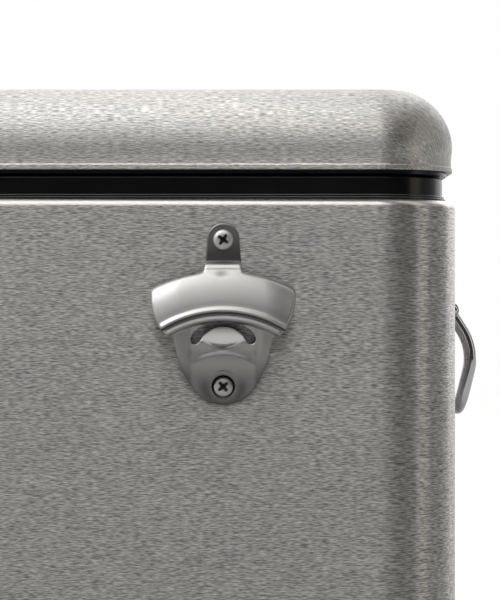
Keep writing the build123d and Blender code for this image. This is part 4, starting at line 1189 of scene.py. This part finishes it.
class CHEST_OT_hidden(ChestOperator):
    """Finishes for the CAD pieces that stay: the tub, the lid pan, the seals, the foam and the strips"""

    bl_idname = "chest.hidden"
    bl_label = "Tub and inner pieces"

    def execute(self, context):
        kept = {"inner_liner": "tub", "lid_pan": "black", "lid_gasket": "rubber", "drain_nut": "black",
                "drain_washer": "rubber", "drain_seal": "rubber", "insulation_walls": "foam",
                "insulation_floor": "foam", "lid_insulation": "foam"}
        kept.update({node: "strip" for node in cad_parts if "backing" in node})
        for node, finish in kept.items():
            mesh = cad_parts[node].data
            mesh.materials.clear()
            mesh.materials.append(FINISHES[finish])
        return {"FINISHED"}


# ---------------------------------------------------------------- studio


class CHEST_OT_studio(ChestOperator):
    """A pale floor, soft lights, a bright room with a few dark panels, and the camera"""

    bl_idname = "chest.studio"
    bl_label = "Studio"

    def execute(self, context):
        scene = context.scene
        scene.view_settings.view_transform = "Standard"
        self.floor(scene)
        self.room(scene)
        self.lights(scene)
        self.camera(scene)
        return {"FINISHED"}

    def floor(self, scene):
        """A wide round floor, as rings about the middle. It is paler to the camera than to the steel."""
        shape = turned([(6000.0, 0.0), (3000.0, 0.0), (900.0, 0.0), (400.0, 0.0), (0.0, 0.0)], 64)
        mesh = bpy.data.meshes.new("floor")
        mesh.from_pydata((np.concatenate(shape.points) * MM).tolist(), [], shape.faces)
        piece = bpy.data.objects.new("floor", mesh)
        scene.collection.objects.link(piece)
        material, graph = new_finish("studio_floor")
        where = graph.value("ShaderNodeTexCoord", output="Object")
        seen = Value(graph, graph.node("ShaderNodeLightPath").outputs["Is Camera Ray"])
        pale = rgba(scene.chest_colours.floor)
        settle(graph, Base_Color=graph.mix(seen, (0.36, 0.36, 0.355, 1.0), pale),
               Roughness=graph.noise(where, 4.0) * 0.1 + 0.75)
        mesh.materials.append(material)

    def room(self, scene):
        """The room that the steel reflects, by direction; a camera sees only plain white."""
        world = bpy.data.worlds.new("studio_room")
        scene.world = world
        world.use_nodes = True
        graph = Graph(world.node_tree)
        x, y, z = graph.axes(graph.value("ShaderNodeTexCoord", output="Generated"))
        rise, turn = z.math("ARCSINE"), x.math("ARCTAN2", -y)
        high = rise.smooth(0.22, 0.66)
        ceiling = rise.smooth(0.75, 1.20)
        upright = rise.window(-0.45, 1.2, 0.15)
        front = turn.window(-2.3, 0.60, 0.30)
        warm_panel = turn.window(1.09, 1.42, 0.02) * upright
        level = ceiling * 0.55 + warm_panel * 0.62 + 0.035
        for start, end, soft, bright in (
                (1.42, 1.90, 0.02, 0.18), (1.90, 2.20, 0.05, 0.30), (2.20, 2.95, 0.12, 1.10),
                (-1.60, -0.85, 0.04, 0.75), (-2.75, -1.60, 0.08, 0.30)):
            level = level + turn.window(start, end, soft) * bright * upright
        rear = 1.0 - turn.window(-2.75, 2.95, 0.15)
        level = level + rear * (upright * 0.42 + high * 0.7)
        level = level + front * high * 1.22 * (1.0 - turn.smooth(0.05, 0.85))
        tint = graph.mix(warm_panel, (1.0, 1.0, 1.0, 1.0), (1.0, 0.94, 0.86, 1.0))
        seen = Value(graph, graph.node("ShaderNodeLightPath").outputs["Is Camera Ray"])
        colour = graph.mix(seen, graph.scale(tint, level), (1.0, 1.0, 1.0, 1.0))
        background = graph.node("ShaderNodeBackground", {}, {"Color": colour, "Strength": 1.0})
        output = graph.node("ShaderNodeOutputWorld")
        graph.tree.links.new(background.outputs[0], output.inputs["Surface"])

    def lights(self, scene):
        """A large soft key, high on the front left, and another at the back right."""
        for name, place, size, power, colour in (
                ("key", (-1.5, -1.7, 2.4), 1.6, 10.0, (1.0, 0.99, 0.97)),
                ("back", (1.4, 2.2, 1.9), 1.8, 6.0, (0.98, 0.99, 1.0))):
            light = bpy.data.lights.new(name, "AREA")
            light.shape, light.size, light.energy, light.color = "DISK", size, power, colour
            lamp = bpy.data.objects.new(name, light)
            lamp.location = place
            lamp.rotation_euler = (Vector((0, 0, 0.25)) - Vector(place)).to_track_quat("-Z", "Y").to_euler()
            scene.collection.objects.link(lamp)

    def camera(self, scene):
        """A level camera one metre in front of the chest, near its right end."""
        camera = bpy.data.cameras.new("camera")
        camera.lens, camera.sensor_width = 123.0, 36.0
        eye = bpy.data.objects.new("camera", camera)
        eye.location = (0.196, FRONT * MM - 1.0, (SHELL_TOP - 49.5) * MM)
        eye.rotation_euler = (math.pi / 2, 0, 0)
        scene.collection.objects.link(eye)
        scene.camera = eye


PIECES = (CHEST_OT_cladding, CHEST_OT_lid, CHEST_OT_collar, CHEST_OT_base, CHEST_OT_opener, CHEST_OT_screws,
          CHEST_OT_handles, CHEST_OT_latch, CHEST_OT_hinges, CHEST_OT_drain, CHEST_OT_hidden, CHEST_OT_studio)


class CHEST_PT_panel(bpy.types.Panel):
    """Lists the chest's operators and settings"""

    bl_idname = "CHEST_PT_panel"
    bl_label = "Cooler Chest"
    bl_space_type = "VIEW_3D"
    bl_region_type = "UI"
    bl_category = "Cooler Chest"

    def draw(self, context):
        for group in (context.scene.chest_sizes, context.scene.chest_colours):
            for key in group.__annotations__:
                self.layout.prop(group, key)
        for piece in PIECES:
            self.layout.operator(piece.bl_idname)


CLASSES = (ChestSizes, ChestColours) + PIECES + (CHEST_PT_panel,)


def register():
    """Adds the classes and the settings to Blender."""
    for entry in CLASSES:
        bpy.utils.register_class(entry)
    bpy.types.Scene.chest_sizes = bpy.props.PointerProperty(type=ChestSizes)
    bpy.types.Scene.chest_colours = bpy.props.PointerProperty(type=ChestColours)


def unregister():
    """Takes them away again."""
    del bpy.types.Scene.chest_colours
    del bpy.types.Scene.chest_sizes
    for entry in reversed(CLASSES):
        bpy.utils.unregister_class(entry)


def main():
    """Builds every piece in order."""
    register()
    make_finishes(bpy.context)
    for piece in PIECES:
        group, name = piece.bl_idname.split(".")
        if getattr(getattr(bpy.ops, group), name)() != {"FINISHED"}:
            raise RuntimeError(piece.bl_idname + " did not finish")


if __name__ == "__main__":
    main()
